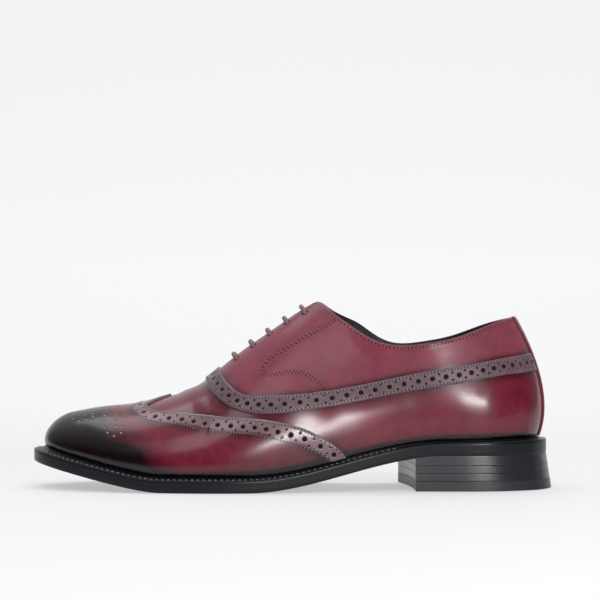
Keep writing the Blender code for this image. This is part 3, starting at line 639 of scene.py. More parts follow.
# Meshes
def add_mesh(name, points, faces, look, smooth_angle=40.0, shade=None):
    """A piece from points and faces; shade has up to three rows: darkness (burnish and painted
    shade), painted sheen and dull.
    """
    mesh = bpy.data.meshes.new(name)
    mesh.from_pydata([tuple(map(float, p)) for p in points], [],
                     [tuple(map(int, f)) for f in faces])
    mesh.validate()
    mesh.shade_smooth()
    mesh.set_sharp_from_angle(angle=math.radians(smooth_angle))
    if shade is not None:
        for key, values in zip(("shade", "painted_sheen", "dull"), np.atleast_2d(shade)):
            layer = mesh.attributes.new(key, "FLOAT", "POINT")
            layer.data.foreach_set("value", np.asarray(values, np.float32))
    mesh.materials.append(look)
    obj = bpy.data.objects.new(name, mesh)
    bpy.context.scene.collection.objects.link(obj)
    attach(obj, "root")
    return obj


def grid_faces(rows, columns, closed=False, start=0, flip=False):
    """Quads of a grid whose points run row by row."""
    faces = []
    for i in range(rows - 1):
        for j in range(columns if closed else columns - 1):
            k = (j + 1) % columns
            quad = (start + i * columns + j, start + i * columns + k,
                    start + (i + 1) * columns + k, start + (i + 1) * columns + j)
            faces.append(quad[::-1] if flip else quad)
    return faces


def body_faces(rows, columns, closed=True, start=0, flip=False):
    """Quads of a grid whose first and last row are closed by a face each."""
    first = tuple(range(start, start + columns))
    last = tuple(range(start + (rows - 1) * columns, start + rows * columns))
    ends = [first, last[::-1]] if flip else [first[::-1], last]
    return grid_faces(rows, columns, closed, start, flip) + ends


def tangent_frame(angle, t, step=1e-3):
    """Columns that turn small moves on the flat layout into moves in space."""
    t = np.clip(t, step, 1 - step)

    def slopes(place):
        by_angle = (place(angle + step, t) - place(angle - step, t)) / (2 * step)
        by_height = (place(angle, t + step) - place(angle, t - step)) / (2 * step)
        return np.stack((by_angle, by_height), -1)

    return slopes(skin) @ np.linalg.inv(slopes(flat))


def ring_at(centre, radius, count=20):
    """A hole's loop on the flat layout, round on the skin itself, run clockwise."""
    angle, t = unflat(np.array([centre]))
    tangents = tangent_frame(angle, t)[0]
    around = -2 * math.pi * np.arange(count) / count
    first = unit(tangents[:, 0])
    normal = unit(np.cross(tangents[:, 0], tangents[:, 1]))
    second = np.cross(normal, first)
    wanted = radius * (np.outer(np.cos(around), first) + np.outer(np.sin(around), second))
    return np.asarray(centre) + wanted @ np.linalg.pinv(tangents).T


def shifted(loop, distance):
    """A closed loop moved to its left by a distance."""
    along = unit(np.roll(loop, -1, axis=0) - np.roll(loop, 1, axis=0))
    return loop + np.stack((-along[:, 1], along[:, 0]), -1) * distance


def resample(line, spacing):
    """Even points along a polyline."""
    run = run_along(line)
    count = max(2, int(round(run[-1] / spacing)))
    return place_along(line, run, np.linspace(0, run[-1], count + 1))


def smooth_line(points, spacing=0.0005):
    """A smooth curve through given points, as a fine polyline."""
    points = np.asarray(points, float)
    run = run_along(points)
    at = np.linspace(0, run[-1], max(8, int(run[-1] / spacing)))
    curves = [spline(list(zip(run, points[:, k]))) for k in range(points.shape[1])]
    return np.stack([curve(at) for curve in curves], -1)


def inside(points, loop):
    """Which points lie inside a closed loop."""
    result = np.zeros(len(points), bool)
    a, b = loop, np.roll(loop, -1, axis=0)
    for start in range(0, len(points), 4000):
        p = points[start:start + 4000]
        over = (a[None, :, 1] > p[:, None, 1]) != (b[None, :, 1] > p[:, None, 1])
        rise = b[:, 1] - a[:, 1]
        slope = (b[:, 0] - a[:, 0]) / np.where(np.abs(rise) < 1e-15, 1e-15, rise)
        x = a[None, :, 0] + (p[:, None, 1] - a[None, :, 1]) * slope[None]
        result[start:start + 4000] = ((over & (x > p[:, None, 0])).sum(1) % 2) == 1
    return result


def area(loop):
    after = np.roll(loop, -1, axis=0)
    return float((loop[:, 0] * after[:, 1] - loop[:, 1] * after[:, 0]).sum() / 2)


def anticlockwise(loop):
    return loop if area(loop) > 0 else loop[::-1]


def in_hole(points, loop):
    """Which points lie inside a hole, tested only near it."""
    low, high = loop.min(0), loop.max(0)
    near = np.all((points >= low) & (points <= high), axis=1)
    result = np.zeros(len(points), bool)
    result[near] = inside(points[near], loop)
    return result


# Soft creases: from and to as shares of the last and the instep, width, depth
CREASES = (
    ((0.285, 0.540), (0.345, 0.300), 4.0, 0.14),
    ((0.308, 0.580), (0.372, 0.280), 4.6, -0.12),
    ((0.262, 0.470), (0.318, 0.300), 3.6, -0.10),
    ((0.470, 0.560), (0.560, 0.400), 8.0, -0.16),
    ((0.500, 0.640), (0.600, 0.560), 7.0, 0.13),
    ((0.585, 0.790), (0.650, 0.600), 6.0, -0.15),
    ((0.640, 0.690), (0.700, 0.540), 7.0, 0.13),
    ((0.790, 0.640), (0.900, 0.700), 6.0, -0.14),
    ((0.420, 0.330), (0.530, 0.250), 9.0, -0.16),
    ((0.600, 0.300), (0.720, 0.240), 9.0, 0.14),
    ((0.880, 0.330), (0.940, 0.500), 7.0, -0.10),
)


def crease_lines():
    lines = []
    for start, end, width, depth in CREASES:
        for medial in (False, True):
            ends = [np.array(flat(*[np.array([v]) for v in side_place(*place, medial)]))[0]
                    for place in (start, end)]
            bend = 0.85 if medial else 1.0
            lines.append((ends[0], ends[1], width * MM, depth * MM * bend))
    return lines


def crease_depth(angle, t):
    """Height of the soft creases: a trough or ridge with a soft shoulder on each side."""
    angle, t = np.broadcast_arrays(np.asarray(angle, float), np.asarray(t, float))
    place = flat(angle, t)
    depth = np.zeros(angle.shape)
    for start, end, width, height in crease_places:
        way = end - start
        along = ((place - start) @ way) / (way @ way)
        away = np.linalg.norm(place - start - np.clip(along, 0, 1)[..., None] * way, axis=-1)
        across = (away / width) ** 2
        depth += height * (1 - across) * np.exp(-across)
    return depth


crease_places = crease_lines()


# Rim of a cut edge: how far in, and how far below the leather's top; the flat ring's end
RIM = ((0.0, 0.00042), (0.00014, 0.00013), (0.00042, 0.0))
HOLE_FLAT = 0.00062


def filled(loops, spacing):
    """Triangles within the first loop and outside the others.

    Gives their points, the triangles and the number of each loop point among the points.
    """
    coords, edges = [], []
    for loop in loops:
        first, count = len(coords), len(loop)
        coords += [tuple(p) for p in loop]
        edges += [(first + i, first + (i + 1) % count) for i in range(count)]
    low, high = loops[0].min(0), loops[0].max(0)
    rise = spacing * 0.866
    rows = int((high[1] - low[1]) / rise) + 1
    columns = int((high[0] - low[0]) / spacing) + 1
    seeds = np.array([(low[0] + i % 2 * spacing / 2 + j * spacing, low[1] + i * rise)
                      for i in range(rows) for j in range(columns)])
    seeds = seeds[inside(seeds, loops[0])]
    seeds = seeds[near_distance(near_tree(np.array(coords)), seeds) > spacing * 0.55]
    for loop in loops[1:]:
        seeds = seeds[~in_hole(seeds, loop)]
    coords += [tuple(p) for p in seeds]
    out = delaunay_2d_cdt([Vector(c) for c in coords], edges, [], 1, 1e-9, True)
    points = np.array([tuple(v) for v in out[0]])
    faces = np.array([f for f in out[2] if len(f) == 3])
    place_of = {source: k for k, sources in enumerate(out[3]) for source in sources}
    middle = points[faces].mean(1)
    kept = inside(middle, loops[0])
    for loop in loops[1:]:
        kept &= ~in_hole(middle, loop)
    return points, faces[kept], place_of


def panel(name, outline, holes, top, bottom, spacing, look, shade_of, floor_of=None):
    """A leather panel laid over the last inside a closed outline, with holes cut in it.

    Each edge has a rounded rim and a wall down to the bottom. Faces whose points floor_of
    finds hidden under another panel get a matte near-black material: painted shade for
    the floors of that panel's holes.
    """
    all_rings = [[shifted(anticlockwise(outline), inset) for inset, _ in RIM]]
    for loop in holes:
        clockwise = anticlockwise(loop)[::-1]
        all_rings.append([shifted(clockwise, inset) for inset, _ in RIM]
                         + [shifted(clockwise, HOLE_FLAT)])
    flat_points, faces, place_of = filled([rings[-1] for rings in all_rings], spacing)
    extra = [flat_points]
    heights = [np.full(len(flat_points), top)]
    first = len(flat_points)
    drops = [drop for _, drop in RIM] + [0.0]
    quads = []
    source = 0
    for rings in all_rings:
        count = len(rings[0])
        above = [place_of[source + i] for i in range(count)]
        source += count
        layers = [(rings[k], top - drops[k]) for k in range(len(rings) - 2, -1, -1)]
        for points, height in layers + [(rings[0], bottom)]:
            extra.append(points)
            heights.append(np.full(count, height))
            below = list(range(first, first + count))
            first += count
            for i in range(count):
                j = (i + 1) % count
                quads.append((above[j], above[i], below[i], below[j]))
            above = below
    points = np.vstack(extra)
    heights = np.concatenate(heights)
    angle, t = unflat(points)
    normal = skin_normal(angle, t)
    space = skin(angle, t) + normal * (heights + crease_depth(angle, t))[:, None]
    piece = add_mesh(name, space, [tuple(f) for f in faces] + quads, look, 50.0,
                     shade_of(space, t))
    if floor_of:
        under = floor_of(points, space)
        piece.data.materials.append(HOLE_SHADE)
        for face in piece.data.polygons:
            if all(under[k] for k in face.vertices):
                face.material_index = 1
    return piece


def near_tree(points):
    tree = KDTree(len(points))
    for i, p in enumerate(points):
        tree.insert((*p, 0.0) if len(p) == 2 else tuple(p), i)
    tree.balance()
    return tree


def near_distance(tree, points):
    return np.array([tree.find((*p, 0.0) if len(p) == 2 else tuple(p))[2]
                     for p in points])


def side_line(rows, medial, clip_feather=False):
    """An edge from its side-view table as a fine line on the flat layout."""
    fine = smooth_line(rows, 0.004)
    places = [side_place(share, rise, medial) for share, rise in fine]
    if clip_feather:
        places = [p for p in places if p[1] > 0.0] + [
            (next(p[0] for p in places if p[1] <= 0.0), 0.0)]
    angles = np.array([p[0] for p in places])
    heights = np.array([p[1] for p in places])
    return flat(angles, heights)


def middle_y(x):
    return float(centre_line((x - TOE_X) / LAST_LENGTH))


def mirrored(line):
    """A line on the flat layout mirrored over the ridge."""
    return np.array([(x, 2 * middle_y(x) - y) for x, y in line])


def feather_line(start, end, count):
    angle = np.linspace(start, end, count)
    return flat(angle, np.zeros(count))


def toe_burn(space):
    """How dark the burnish is at places in space: black at the toe, red by the vamp."""
    x, z = space[:, 0], space[:, 2]
    edge = -0.226 + 0.0275 * smoothstep((0.0306 - z) / 0.0069)
    black = 1.0 - smoothstep((x - edge) / 0.020 + 0.5)
    wide = 1.0 - smoothstep((x + 0.218 + 1.0 * (z - 0.0274)) / 0.050)
    return np.maximum(black, 0.30 * black + 0.70 * wide)


# Darker towards the nearest line of a tree; beside the overlaid band and wing edges this is
# partly a painted shadow line, partly burnish
def edge_darkening(tree, space, reach, strength):
    return strength * (1 - smoothstep(near_distance(tree, space) / reach))


def feather_burnish_and_shade(t):
    """Darker along the feather line: painted shade over the lower wall, and by the seam mostly
    the welt's painted shadow and reflection, partly burnish.
    """
    return 0.30 * (1 - smoothstep(t / 0.16)) + 0.65 * (1 - smoothstep((t - 0.02) / 0.03))


# Edges of the panels on the flat layout
def wing_edge(medial):
    low = side_line(WING_ROWS, medial, clip_feather=True)
    peak_x = TOE_X + LAST_LENGTH * WING_PEAK
    top = np.array([(peak_x, middle_y(peak_x)), *WING_TIP])
    if medial:
        top = mirrored(top)
        top[0, 1] = middle_y(peak_x)
    return smooth_line(np.vstack((top, low[:1], low[4::6], low[-1:])))


def band_edge(rows, ridge_share, medial):
    low = side_line(rows, medial)
    x = TOE_X + LAST_LENGTH * ridge_share
    angle, t = unflat(low)
    y = skin(angle, t)[:, 1]
    side = 1 if medial else -1
    low = low[y * side > STRIP_HALF_WIDTH + GAP]
    return smooth_line(np.vstack(([(x, middle_y(x))], low[::8], low[-1:])))


wing_lines = [wing_edge(False), wing_edge(True)]
band_tops = [band_edge(BAND_TOP_ROWS, BAND_TOP_PEAK, medial) for medial in (False, True)]
band_bottoms = [band_edge(BAND_BOTTOM_ROWS, BAND_BOTTOM_PEAK, medial)
                for medial in (False, True)]
end_angles = [unflat(line[-1:])[0][0] for line in wing_lines]
wing_outline = np.vstack((
    resample(wing_lines[0], EDGE_SPACING)[:-1],
    resample(feather_line(end_angles[0], end_angles[1], 900), 0.0012),
    resample(wing_lines[1][::-1], EDGE_SPACING)[1:-1],
))
band_outline = np.vstack((
    resample(band_tops[0][::-1], EDGE_SPACING),
    resample(band_tops[1], EDGE_SPACING)[1:],
    resample(band_bottoms[1][::-1], EDGE_SPACING),
    resample(band_bottoms[0], EDGE_SPACING)[1:],
))


SLIT_CORNER = ridge_angle(VAMP_POINT) + 0.004
BACK = math.pi - 1e-6


def topline(start, end):
    angle = np.linspace(start, end, 900)
    return flat(angle, np.ones(len(angle)))


opening_sides = [topline(SLIT_CORNER, BACK), topline(-SLIT_CORNER, -BACK)]
opening_loop = np.vstack(opening_sides)


def upper_outline():
    """The upper laid flat: open at the back seam, round the collar and down the slit."""
    seam = np.linspace(0, 1, 60)
    back_lateral = flat(np.full(60, BACK), seam)
    back_medial = flat(np.full(60, -BACK), seam)
    parts = (resample(feather_line(-BACK, BACK, 2400), 0.0014),
             resample(back_lateral, EDGE_SPACING)[1:-1],
             resample(opening_sides[0][::-1], EDGE_SPACING),
             resample(opening_sides[1], EDGE_SPACING),
             resample(back_medial[::-1], EDGE_SPACING)[1:-1])
    return np.vstack(parts)


def eyelet_place(row, side):
    share = FIRST_EYELET + (LAST_EYELET - FIRST_EYELET) * row / (EYELET_ROWS - 1)
    along = unit(np.array((1.0, 0.0, float(ridge_slope(share)))))
    ridge = np.array((TOE_X + LAST_LENGTH * share, float(centre_line(share)),
                      float(topline_z(share, False))))
    spread = EYELET_SPREAD if side else -EYELET_SPREAD
    angle = ridge_angle(share) * (-1 if side else 1)
    t, step = 0.9, 1e-4

    def miss(at, height):
        point = skin(at, height)
        return np.array(((point - ridge) @ along, point[1] - ridge[1] - spread))

    for _ in range(12):
        here = miss(angle, t)
        change = np.linalg.solve(np.column_stack(((miss(angle + step, t) - here) / step,
                                                  (miss(angle, t + step) - here) / step)),
                                 -here)
        angle, t = angle + float(change[0]), t + float(change[1])
    return angle, t, along, ridge


eyelets = {(row, side): eyelet_place(row, side) for row in range(EYELET_ROWS)
           for side in (0, 1)}
eyelet_loops = [ring_at(flat(np.array([a]), np.array([t]))[0], EYELET_RADIUS, 20)
                for a, t, _, _ in eyelets.values()]


def brogue_holes(line, inset, start, end):
    """Big holes at a pitch beside a line, with a pair of pinholes between each two."""
    line = resample(line, 0.0005)
    run = run_along(line)
    room = run[-1] - (start + end) * HOLE_PITCH
    count = int(round(room / HOLE_PITCH))
    holes = []
    for k in range(2 * count + 1):
        at = start * HOLE_PITCH + room / count * k / 2
        here = place_along(line, run, at)
        way = unit(place_along(line, run, at + 0.0005) - here)
        across = np.array((-way[1], way[0]))
        centre = here + across * inset
        if k % 2 == 0:
            holes.append(ring_at(centre, BIG_HOLE))
        else:
            for side in (-1, 1):
                holes.append(ring_at(centre + across * side * PINHOLES_APART, PINHOLE, 12))
    return holes


# The toe's pattern: mm behind its front, mm aside from the ridge, radius in mm
MEDALLION = (
    (15.5, 0.0, 1.25),
    (5.0, 0.0, 0.55), (9.6, 0.0, 0.55), (21.5, 0.0, 0.60), (29.5, 0.0, 0.60),
    (1.6, 6.2, 0.55), (2.6, 12.0, 0.55), (6.2, 16.6, 0.55), (10.6, 17.2, 0.55),
    (14.6, 15.6, 0.55), (6.6, 6.6, 0.50), (9.6, 11.2, 0.55), (14.0, 11.4, 0.55),
    (12.6, 5.6, 0.50), (19.2, 5.6, 0.50),
    (21.8, 7.0, 0.55), (22.2, 12.0, 0.55), (21.6, 17.2, 0.55), (21.0, 22.6, 0.55),
    (21.6, 28.0, 0.55), (23.6, 33.0, 0.55), (27.4, 36.8, 0.55), (31.6, 35.8, 0.55),
    (32.2, 31.4, 0.55), (28.4, 29.6, 0.65), (28.0, 24.0, 0.55), (28.2, 18.4, 0.55),
    (28.6, 12.6, 0.55), (29.0, 6.8, 0.55),
)


def medallion_holes():
    holes = []
    for behind, aside, radius in MEDALLION:
        x = MEDALLION_FRONT + behind * MM
        for side in ((-1, 1) if aside else (1,)):
            centre = (x, middle_y(x) + side * aside * MM)
            holes.append(ring_at(centre, radius * MM, 16 if radius > 1 else 12))
    return holes


def medallion_glint_discs(loops):
    """Small pale discs just below the rims of the toe's pattern: painted highlight for the light
    its holes' rims catch.
    """
    points, faces = [], []
    for loop in loops:
        faces.append(tuple(range(len(points), len(points) + len(loop)))[::-1])
        points += list(loop)
    angle, t = unflat(np.array(points))
    depth = GAP + OVERLAY_WALL - DISC_DEPTH + crease_depth(angle, t)
    space = skin(angle, t) + skin_normal(angle, t) * depth[:, None]
    add_mesh("medallion_glint_discs", space, faces, MEDALLION_GLINT)


def make_uppers():
    bands = near_tree(np.vstack([skin(*unflat(line[::4])) for line in
                                 band_tops + band_bottoms + wing_lines]))
    collar = near_tree(skin(*unflat(opening_loop)))
    wing_tree = near_tree(np.vstack([skin(*unflat(line[::4])) for line in wing_lines]))
    band_line = skin(*unflat(band_tops[0]))

    def upper_shade(space, t):
        heel = 0.50 * smoothstep((space[:, 0] - 0.012) / 0.03) * (1 - t) ** 1.5
        # Painted shade along the feather line, deepened towards the heel where the welt's shadow
        # falls, partly burnish
        foot = 1 - smoothstep((t - 0.03) / 0.035)
        low = feather_burnish_and_shade(t) + foot * smoothstep((space[:, 0] + 0.10) / 0.05)
        above = space[:, 2] - np.interp(space[:, 0], band_line[:, 0], band_line[:, 2])
        above = smoothstep(above / 0.003)
        # Darker beside the overlaid edges (painted shadow line, partly burnish), a little near
        # the collar, below the band, at the heel (burnish) and along the feather line (painted
        # shade)
        shade = np.clip(edge_darkening(bands, space, 0.006, 0.40) + 0.27 * (1 - above)
                        + edge_darkening(collar, space, 0.004, 0.15) + heel + low, 0, 1)
        # Painted sheen on the quarter above the band, which the light from above brightens; the
        # coat is duller there too
        return np.stack((shade, 0.26 * above, above))

    # Faces under the band's and punched strip's holes, which get painted shade
    def upper_floor(points, space):
        band, wing = [in_hole(points, shifted(anticlockwise(outline), FLOOR_IN))
                      for outline in (band_outline, wing_outline)]
        return band | (wing & (near_distance(wing_tree, space) < FLOOR_REACH))

    upper = panel("upper_leather", upper_outline(), eyelet_loops, 0.0, -WALL,
                  UPPER_SPACING, CALF, upper_shade, upper_floor)
    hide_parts("upper")

    def wing_shade(space, t):
        far = near_distance(wing_tree, space)
        strip = 1 - smoothstep((far - WING_STRIP_FULL) / 0.0016)
        halo = 0.55 * (1 - smoothstep((far - WING_STRIP) / 0.0070))
        # Toe burnish, a burnished halo beyond the punched strip, a darker wing, and painted
        # shade along the feather line
        burnish_and_shade = np.clip(np.maximum(1.3 * toe_burn(space), halo * (1 - strip) + 0.33)
                       + feather_burnish_and_shade(t), 0, 1.3)
        # Painted sheen on the punched strip, whose grey is reflected light
        return np.stack((burnish_and_shade, 0.85 * strip * (1 - 0.5 * toe_burn(space))))

    holes = medallion_holes()
    for line, side in zip(wing_lines, (-1, 1)):
        holes += brogue_holes(line[28:], side * WING_HOLES_IN, 0.4, 0.6)
    wing = panel("wing_cap_leather", wing_outline, holes, GAP + OVERLAY_WALL, UNDER,
                 PANEL_SPACING, CALF, wing_shade)
    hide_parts("wing_cap")
    medallion_glint_discs(medallion_holes())

    def band_shade(space, t):
        return np.full(len(space), 0.25)

    holes = []
    for edges in zip(band_tops, band_bottoms):
        lines = [resample(edge, 0.0005) for edge in edges]
        shares = np.linspace(0, 1, 400)
        centre = sum(place_along(line, np.linspace(0, 1, len(line)), shares)
                     for line in lines) / 2
        holes += brogue_holes(centre[6:], 0.0, 0.5, 0.5)
    band = panel("brogue_band_leather", band_outline, holes, GAP + OVERLAY_WALL, UNDER,
                 PANEL_SPACING, BURNISHED, band_shade)
    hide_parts("brogue_band")


# A stitch at four places: height in mm, share of its radius and share of its length
STITCH_RISE = (-0.12, 0.07, 0.07, -0.12)
STITCH_TAPER = (0.6, 1.0, 1.0, 0.6)
STITCH_PARTS = (-0.5, -0.2, 0.2, 0.5)
NEEDLE_RISE = (-0.02, 0.00, 0.00, -0.02)


def capsules(name, paths, normals, radius, look, squash=1.0):
    """Short rounded threads, many in one mesh, each along four places."""
    along = unit(paths[:, -1] - paths[:, 0])
    side = unit(np.cross(normals, along))
    phi = 2 * math.pi * np.arange(6) / 6
    around = (side[:, None, None] * np.cos(phi)[None, None, :, None]
              + normals[:, None, None] * (squash * np.sin(phi))[None, None, :, None])
    taper = (radius * np.array(STITCH_TAPER))[None, :, None, None]
    points = (paths[:, :, None] + around * taper).reshape(-1, 3)
    faces = []
    for k in range(len(paths)):
        faces += body_faces(4, 6, start=24 * k)
    add_mesh(name, points, faces, look, 60.0)


def moved(line, distance):
    """An open line moved to its left."""
    along = unit(np.gradient(line, axis=0))
    return line + np.stack((-along[:, 1], along[:, 0]), -1) * distance


def stitch_row(name, lines, height, radius, look):
    """Stitches along lines on the flat layout, with a near-black capsule at each needle hole as
    its painted shade.
    """
    threads, needles = [], []
    parts = np.array(STITCH_PARTS)
    for line in lines:
        line = resample(line, 0.0003)
        run = run_along(line)
        at = np.arange(STITCH_PITCH * 0.6, run[-1] - STITCH_PITCH * 0.6, STITCH_PITCH)
        for middle in at:
            threads.extend(place_along(line, run, middle + parts * STITCH_LENGTH))
            needles.extend(place_along(line, run, middle + STITCH_PITCH / 2
                                       + parts * NEEDLE_LENGTH))
    for kind, places, rises, size, stuff in (
            (name, threads, STITCH_RISE, radius, look),
            (name.replace("stitches", "needle_hole_shade"), needles, NEEDLE_RISE, NEEDLE_RADIUS,
             HOLE_SHADE)):
        angle, t = unflat(np.array(places))
        normal = skin_normal(angle, t)
        rise = np.tile(np.array(rises) * MM, len(places) // 4)
        space = skin(angle, t) + normal * (height + rise + crease_depth(angle, t))[:, None]
        normals = unit(normal.reshape(-1, 4, 3).mean(1))
        capsules(kind, space.reshape(-1, 4, 3), normals, size, stuff,
                 1.0 if places is threads else NEEDLE_SQUASH)


# The facing's edge in the side view, as for the wing edge
FACING = ((0.5925, 0.850), (0.5614, 0.812), (0.5203, 0.772), (0.4794, 0.720),
          (0.4550, 0.679), (0.4429, 0.638), (0.4470, 0.607), (0.4634, 0.600),
          (0.4999, 0.6005), (0.5304, 0.567), (0.5507, 0.513), (0.5690, 0.445))


def facing_line(medial):
    places = [side_place(share, rise, medial) for share, rise in FACING]
    angle, t = np.array(places).T
    return smooth_line(flat(angle, t))


def make_stitches():
    over = GAP + OVERLAY_WALL
    facings = []
    for medial, side in ((False, -1), (True, 1)):
        line = facing_line(medial)
        facings += [line, moved(line, side * FACING_ROW_IN)]
    stitch_row("facing_stitches", facings, 0.0, STITCH_RADIUS, RED_THREAD)
    collars = []
    for line, side in zip(opening_sides, (-1, 1)):
        share = (line[:, 0] - TOE_X) / LAST_LENGTH
        collars.append(moved(line[share > COLLAR_ROW_START], side * COLLAR_ROW_IN))
    stitch_row("collar_stitches", collars, 0.0, COLLAR_STITCH_RADIUS, RED_THREAD)
    wings, bands = [], []
    for k, side in enumerate((-1, 1)):
        wings += [moved(wing_lines[k][6:-4], side * WING_ROW_IN),
                  moved(wing_lines[k][26:-4], side * WING_SECOND_ROW_IN)]
        bands += [moved(band_tops[k][4:-2], side * BAND_ROW_IN),
                  moved(band_bottoms[k][4:-2], -side * BAND_ROW_IN),
                  moved(band_tops[k][4:90], side * BAND_SECOND_ROW_IN)]
    stitch_row("wing_stitches", wings, over, STITCH_RADIUS, PALE_THREAD)
    stitch_row("band_stitches", bands, over, STITCH_RADIUS, PALE_THREAD)


def strip_angles(t):
    """Angles at which the back strip's half width is reached, for each height."""
    low, high = np.full(len(t), 2.2), np.full(len(t), math.pi)
    for _ in range(40):
        middle = (low + high) / 2
        wide = -skin(middle, t)[:, 1] > STRIP_HALF_WIDTH
        low, high = np.where(wide, middle, low), np.where(wide, high, middle)
    return high


def make_strip():
    t = np.linspace(STRIP_START, 0.999, 90)
    reach = math.pi - strip_angles(t)
    across = np.concatenate(([-1, -1, -0.985, -0.94], np.linspace(-0.85, 0.85, 13),
                             [0.94, 0.985, 1, 1]))
    over = GAP + OVERLAY_WALL
    side = [UNDER, over - RIM[0][1], over - RIM[1][1], over]
    heights = np.concatenate((side, np.full(13, over), side[::-1]))
    angle = wrap(math.pi - reach[:, None] * across[None, :])
    height = np.tile(heights, (len(t), 1))
    for row, (_, drop) in zip((0, 1, -1, -2), RIM[:2] * 2):
        height[row] = np.minimum(height[row], over - drop)
    rise = np.tile(t[:, None], (1, len(across)))
    normal = skin_normal(angle, rise)
    above = skin(angle, rise) + normal * height[..., None]
    under = skin(angle, rise) + normal * UNDER
    grid = np.concatenate((above, under[:, ::-1][:, 1:-1]), 1)
    faces = body_faces(*grid.shape[:2], flip=True)
    points = grid.reshape(-1, 3)
    strip = add_mesh("back_strip_leather", points, faces, CALF, 50.0,
                     np.full(len(points), 0.30))
    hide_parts("back_strip")


def make_welt_stitches():
    end = angle_at(WELT_END)
    angle = np.linspace(-end + 0.02, end - 0.02, 6000)
    reach = sole_reach(angle)
    share = 1 - (reach - WELT_STITCH_IN) / (reach - WELT_ROUND)
    points = outline_points(angle, reach - WELT_STITCH_IN)
    top, seam = welt_edge_z(outline_points(angle, reach)[:, 0]), seam_z(angle)
    points[:, 2] = top + (seam - top) * np.clip(share, 0, 1) ** WELT_CURVE
    run = run_along(points)
    at = np.arange(0.002, run[-1] - 0.002, WELT_STITCH_PITCH)
    parts = at[:, None] + np.array(STITCH_PARTS)[None] * WELT_STITCH_LENGTH
    paths = place_along(points, run, parts)
    normals = np.tile((0.0, 0.0, 1.0), (len(paths), 1))
    paths += normals[:, None] * (np.array((-0.15, 0.20, 0.20, -0.15)) * MM)[None, :, None]
    capsules("welt_stitches", paths, normals, WELT_STITCH_RADIUS, WELT_THREAD)


def make_lining():
    angles = np.linspace(-math.pi, math.pi, 361)[:-1]
    heights = np.linspace(0.0, 1.0, 41)
    angle, t = np.meshgrid(angles, heights, indexing="ij")
    inner = skin(angle, t) - skin_normal(angle, t) * (WALL + crease_depth(angle, t))[..., None]
    rows, columns = angle.shape
    points = inner.reshape(-1, 3)
    faces = grid_faces(rows, columns)
    last = (rows - 1) * columns
    for j in range(columns - 1):
        faces.append((last + j, last + j + 1, j + 1, j))
    add_mesh("lining_leather", points, [f[::-1] for f in faces], LINING)


# Section of the outsole's edge: inset and rise in mm
SOLE_EDGE = (
    (3.0, 0.0), (1.0, 0.0), (0.4, 0.12), (0.12, 0.42), (0.0, 0.9), (-0.04, 2.2), (0.0, 3.6),
    (0.0, 4.45), (0.0, 4.56), (0.30, 4.58), (3.0, 4.58),
)


def make_sole():
    angle = np.linspace(0, 2 * math.pi, 481)[:-1]
    reach = sole_reach(angle)

    def ring(inset, rise):
        points = outline_points(angle, reach - inset * MM)
        edge_x = outline_points(angle, reach)[:, 0]
        points[:, 2] = underside_z(edge_x * 0.3 + points[:, 0] * 0.7) + rise * MM
        return points

    rings = [ring(*row) for row in SOLE_EDGE]
    count = len(angle)
    faces = grid_faces(len(rings), count, closed=True)
    for start, flip in ((0, True), ((len(rings) - 1) * count, False)):
        for i in range(count // 2):
            quad = [start + i, start + i + 1, start + count - i - 1,
                    start + (count - i) % count]
            quad = list(dict.fromkeys(quad))
            faces.append(quad[::-1] if flip else quad)
    outsole = add_mesh("outsole_leather", np.vstack(rings), faces, EDGE)
    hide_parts("outsole")


def welt_rings(angles):
    """Points of the welt's section for many angles: underside, edge, top, seam."""
    reach = sole_reach(angles)
    edge = outline_points(angles, reach)
    base = welt_base_z(edge[:, 0]) - 0.00025
    top = welt_edge_z(edge[:, 0])
    seam = seam_z(angles)
    columns = []

    def add(offset, z):
        points = outline_points(angles, offset)
        points[:, 2] = z
        columns.append(points)

    add(reach - 0.0020, base)
    add(reach - 0.00030, base)
    add(reach - 0.00001, base + 0.00002)
    add(reach + 0.00002, (base + top) / 2)
    add(reach - 0.00005, top - 0.0004)
    add(reach - 0.00025, top - 0.00010)
    add(reach - WELT_ROUND, top)
    for share in np.linspace(0.15, 1.0, 7):
        add((reach - WELT_ROUND) * (1 - share), top + (seam - top) * share ** WELT_CURVE)
    add(-WALL + 0 * reach, seam)
    return np.stack(columns, 1)


def make_welt():
    end = angle_at(WELT_END)
    for name, node, start, stop, count in (
            ("welt_leather", "welt", -end, end, 420),
            ("heel_rand_leather", "heel_rand", end + 0.0002, 2 * math.pi - end - 0.0002, 150)):
        angles = np.linspace(start, stop, count)
        grid = welt_rings(angles)
        faces = body_faces(*grid.shape[:2], closed=False, flip=True)
        piece = add_mesh(name, grid.reshape(-1, 3), faces, EDGE)
        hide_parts(node)


def heel_ring(z_of, inset=0.0, count=150, steps=24):
    """Outline of the heel at heights given by its own x, breast line included."""
    start = angle_at(HEEL_FRONT_LATERAL)
    end = 2 * math.pi - angle_at(HEEL_FRONT_MEDIAL)
    angle = np.linspace(start, end, count + 1)
    edge = outline_points(angle, sole_reach(angle))
    z = z_of(edge[:, 0])
    flare = HEEL_FLARE_SIDE + (HEEL_FLARE_BACK - HEEL_FLARE_SIDE) * np.abs(
        np.cos(angle)) ** FLARE_POWER
    ring = outline_points(angle, sole_reach(angle) + flare * (1 - z / HEEL_HEIGHT) - inset)
    ring[:, 2] = z
    across = np.linspace(0, 1, steps + 1)[1:-1, None]
    breast = ring[-1] * (1 - across) + ring[0] * across
    breast[:, 0] += BREAST_HOLLOW * 4 * across[:, 0] * (1 - across[:, 0]) + inset
    breast[:, 2] = z_of(breast[:, 0])
    return np.vstack((ring, breast))


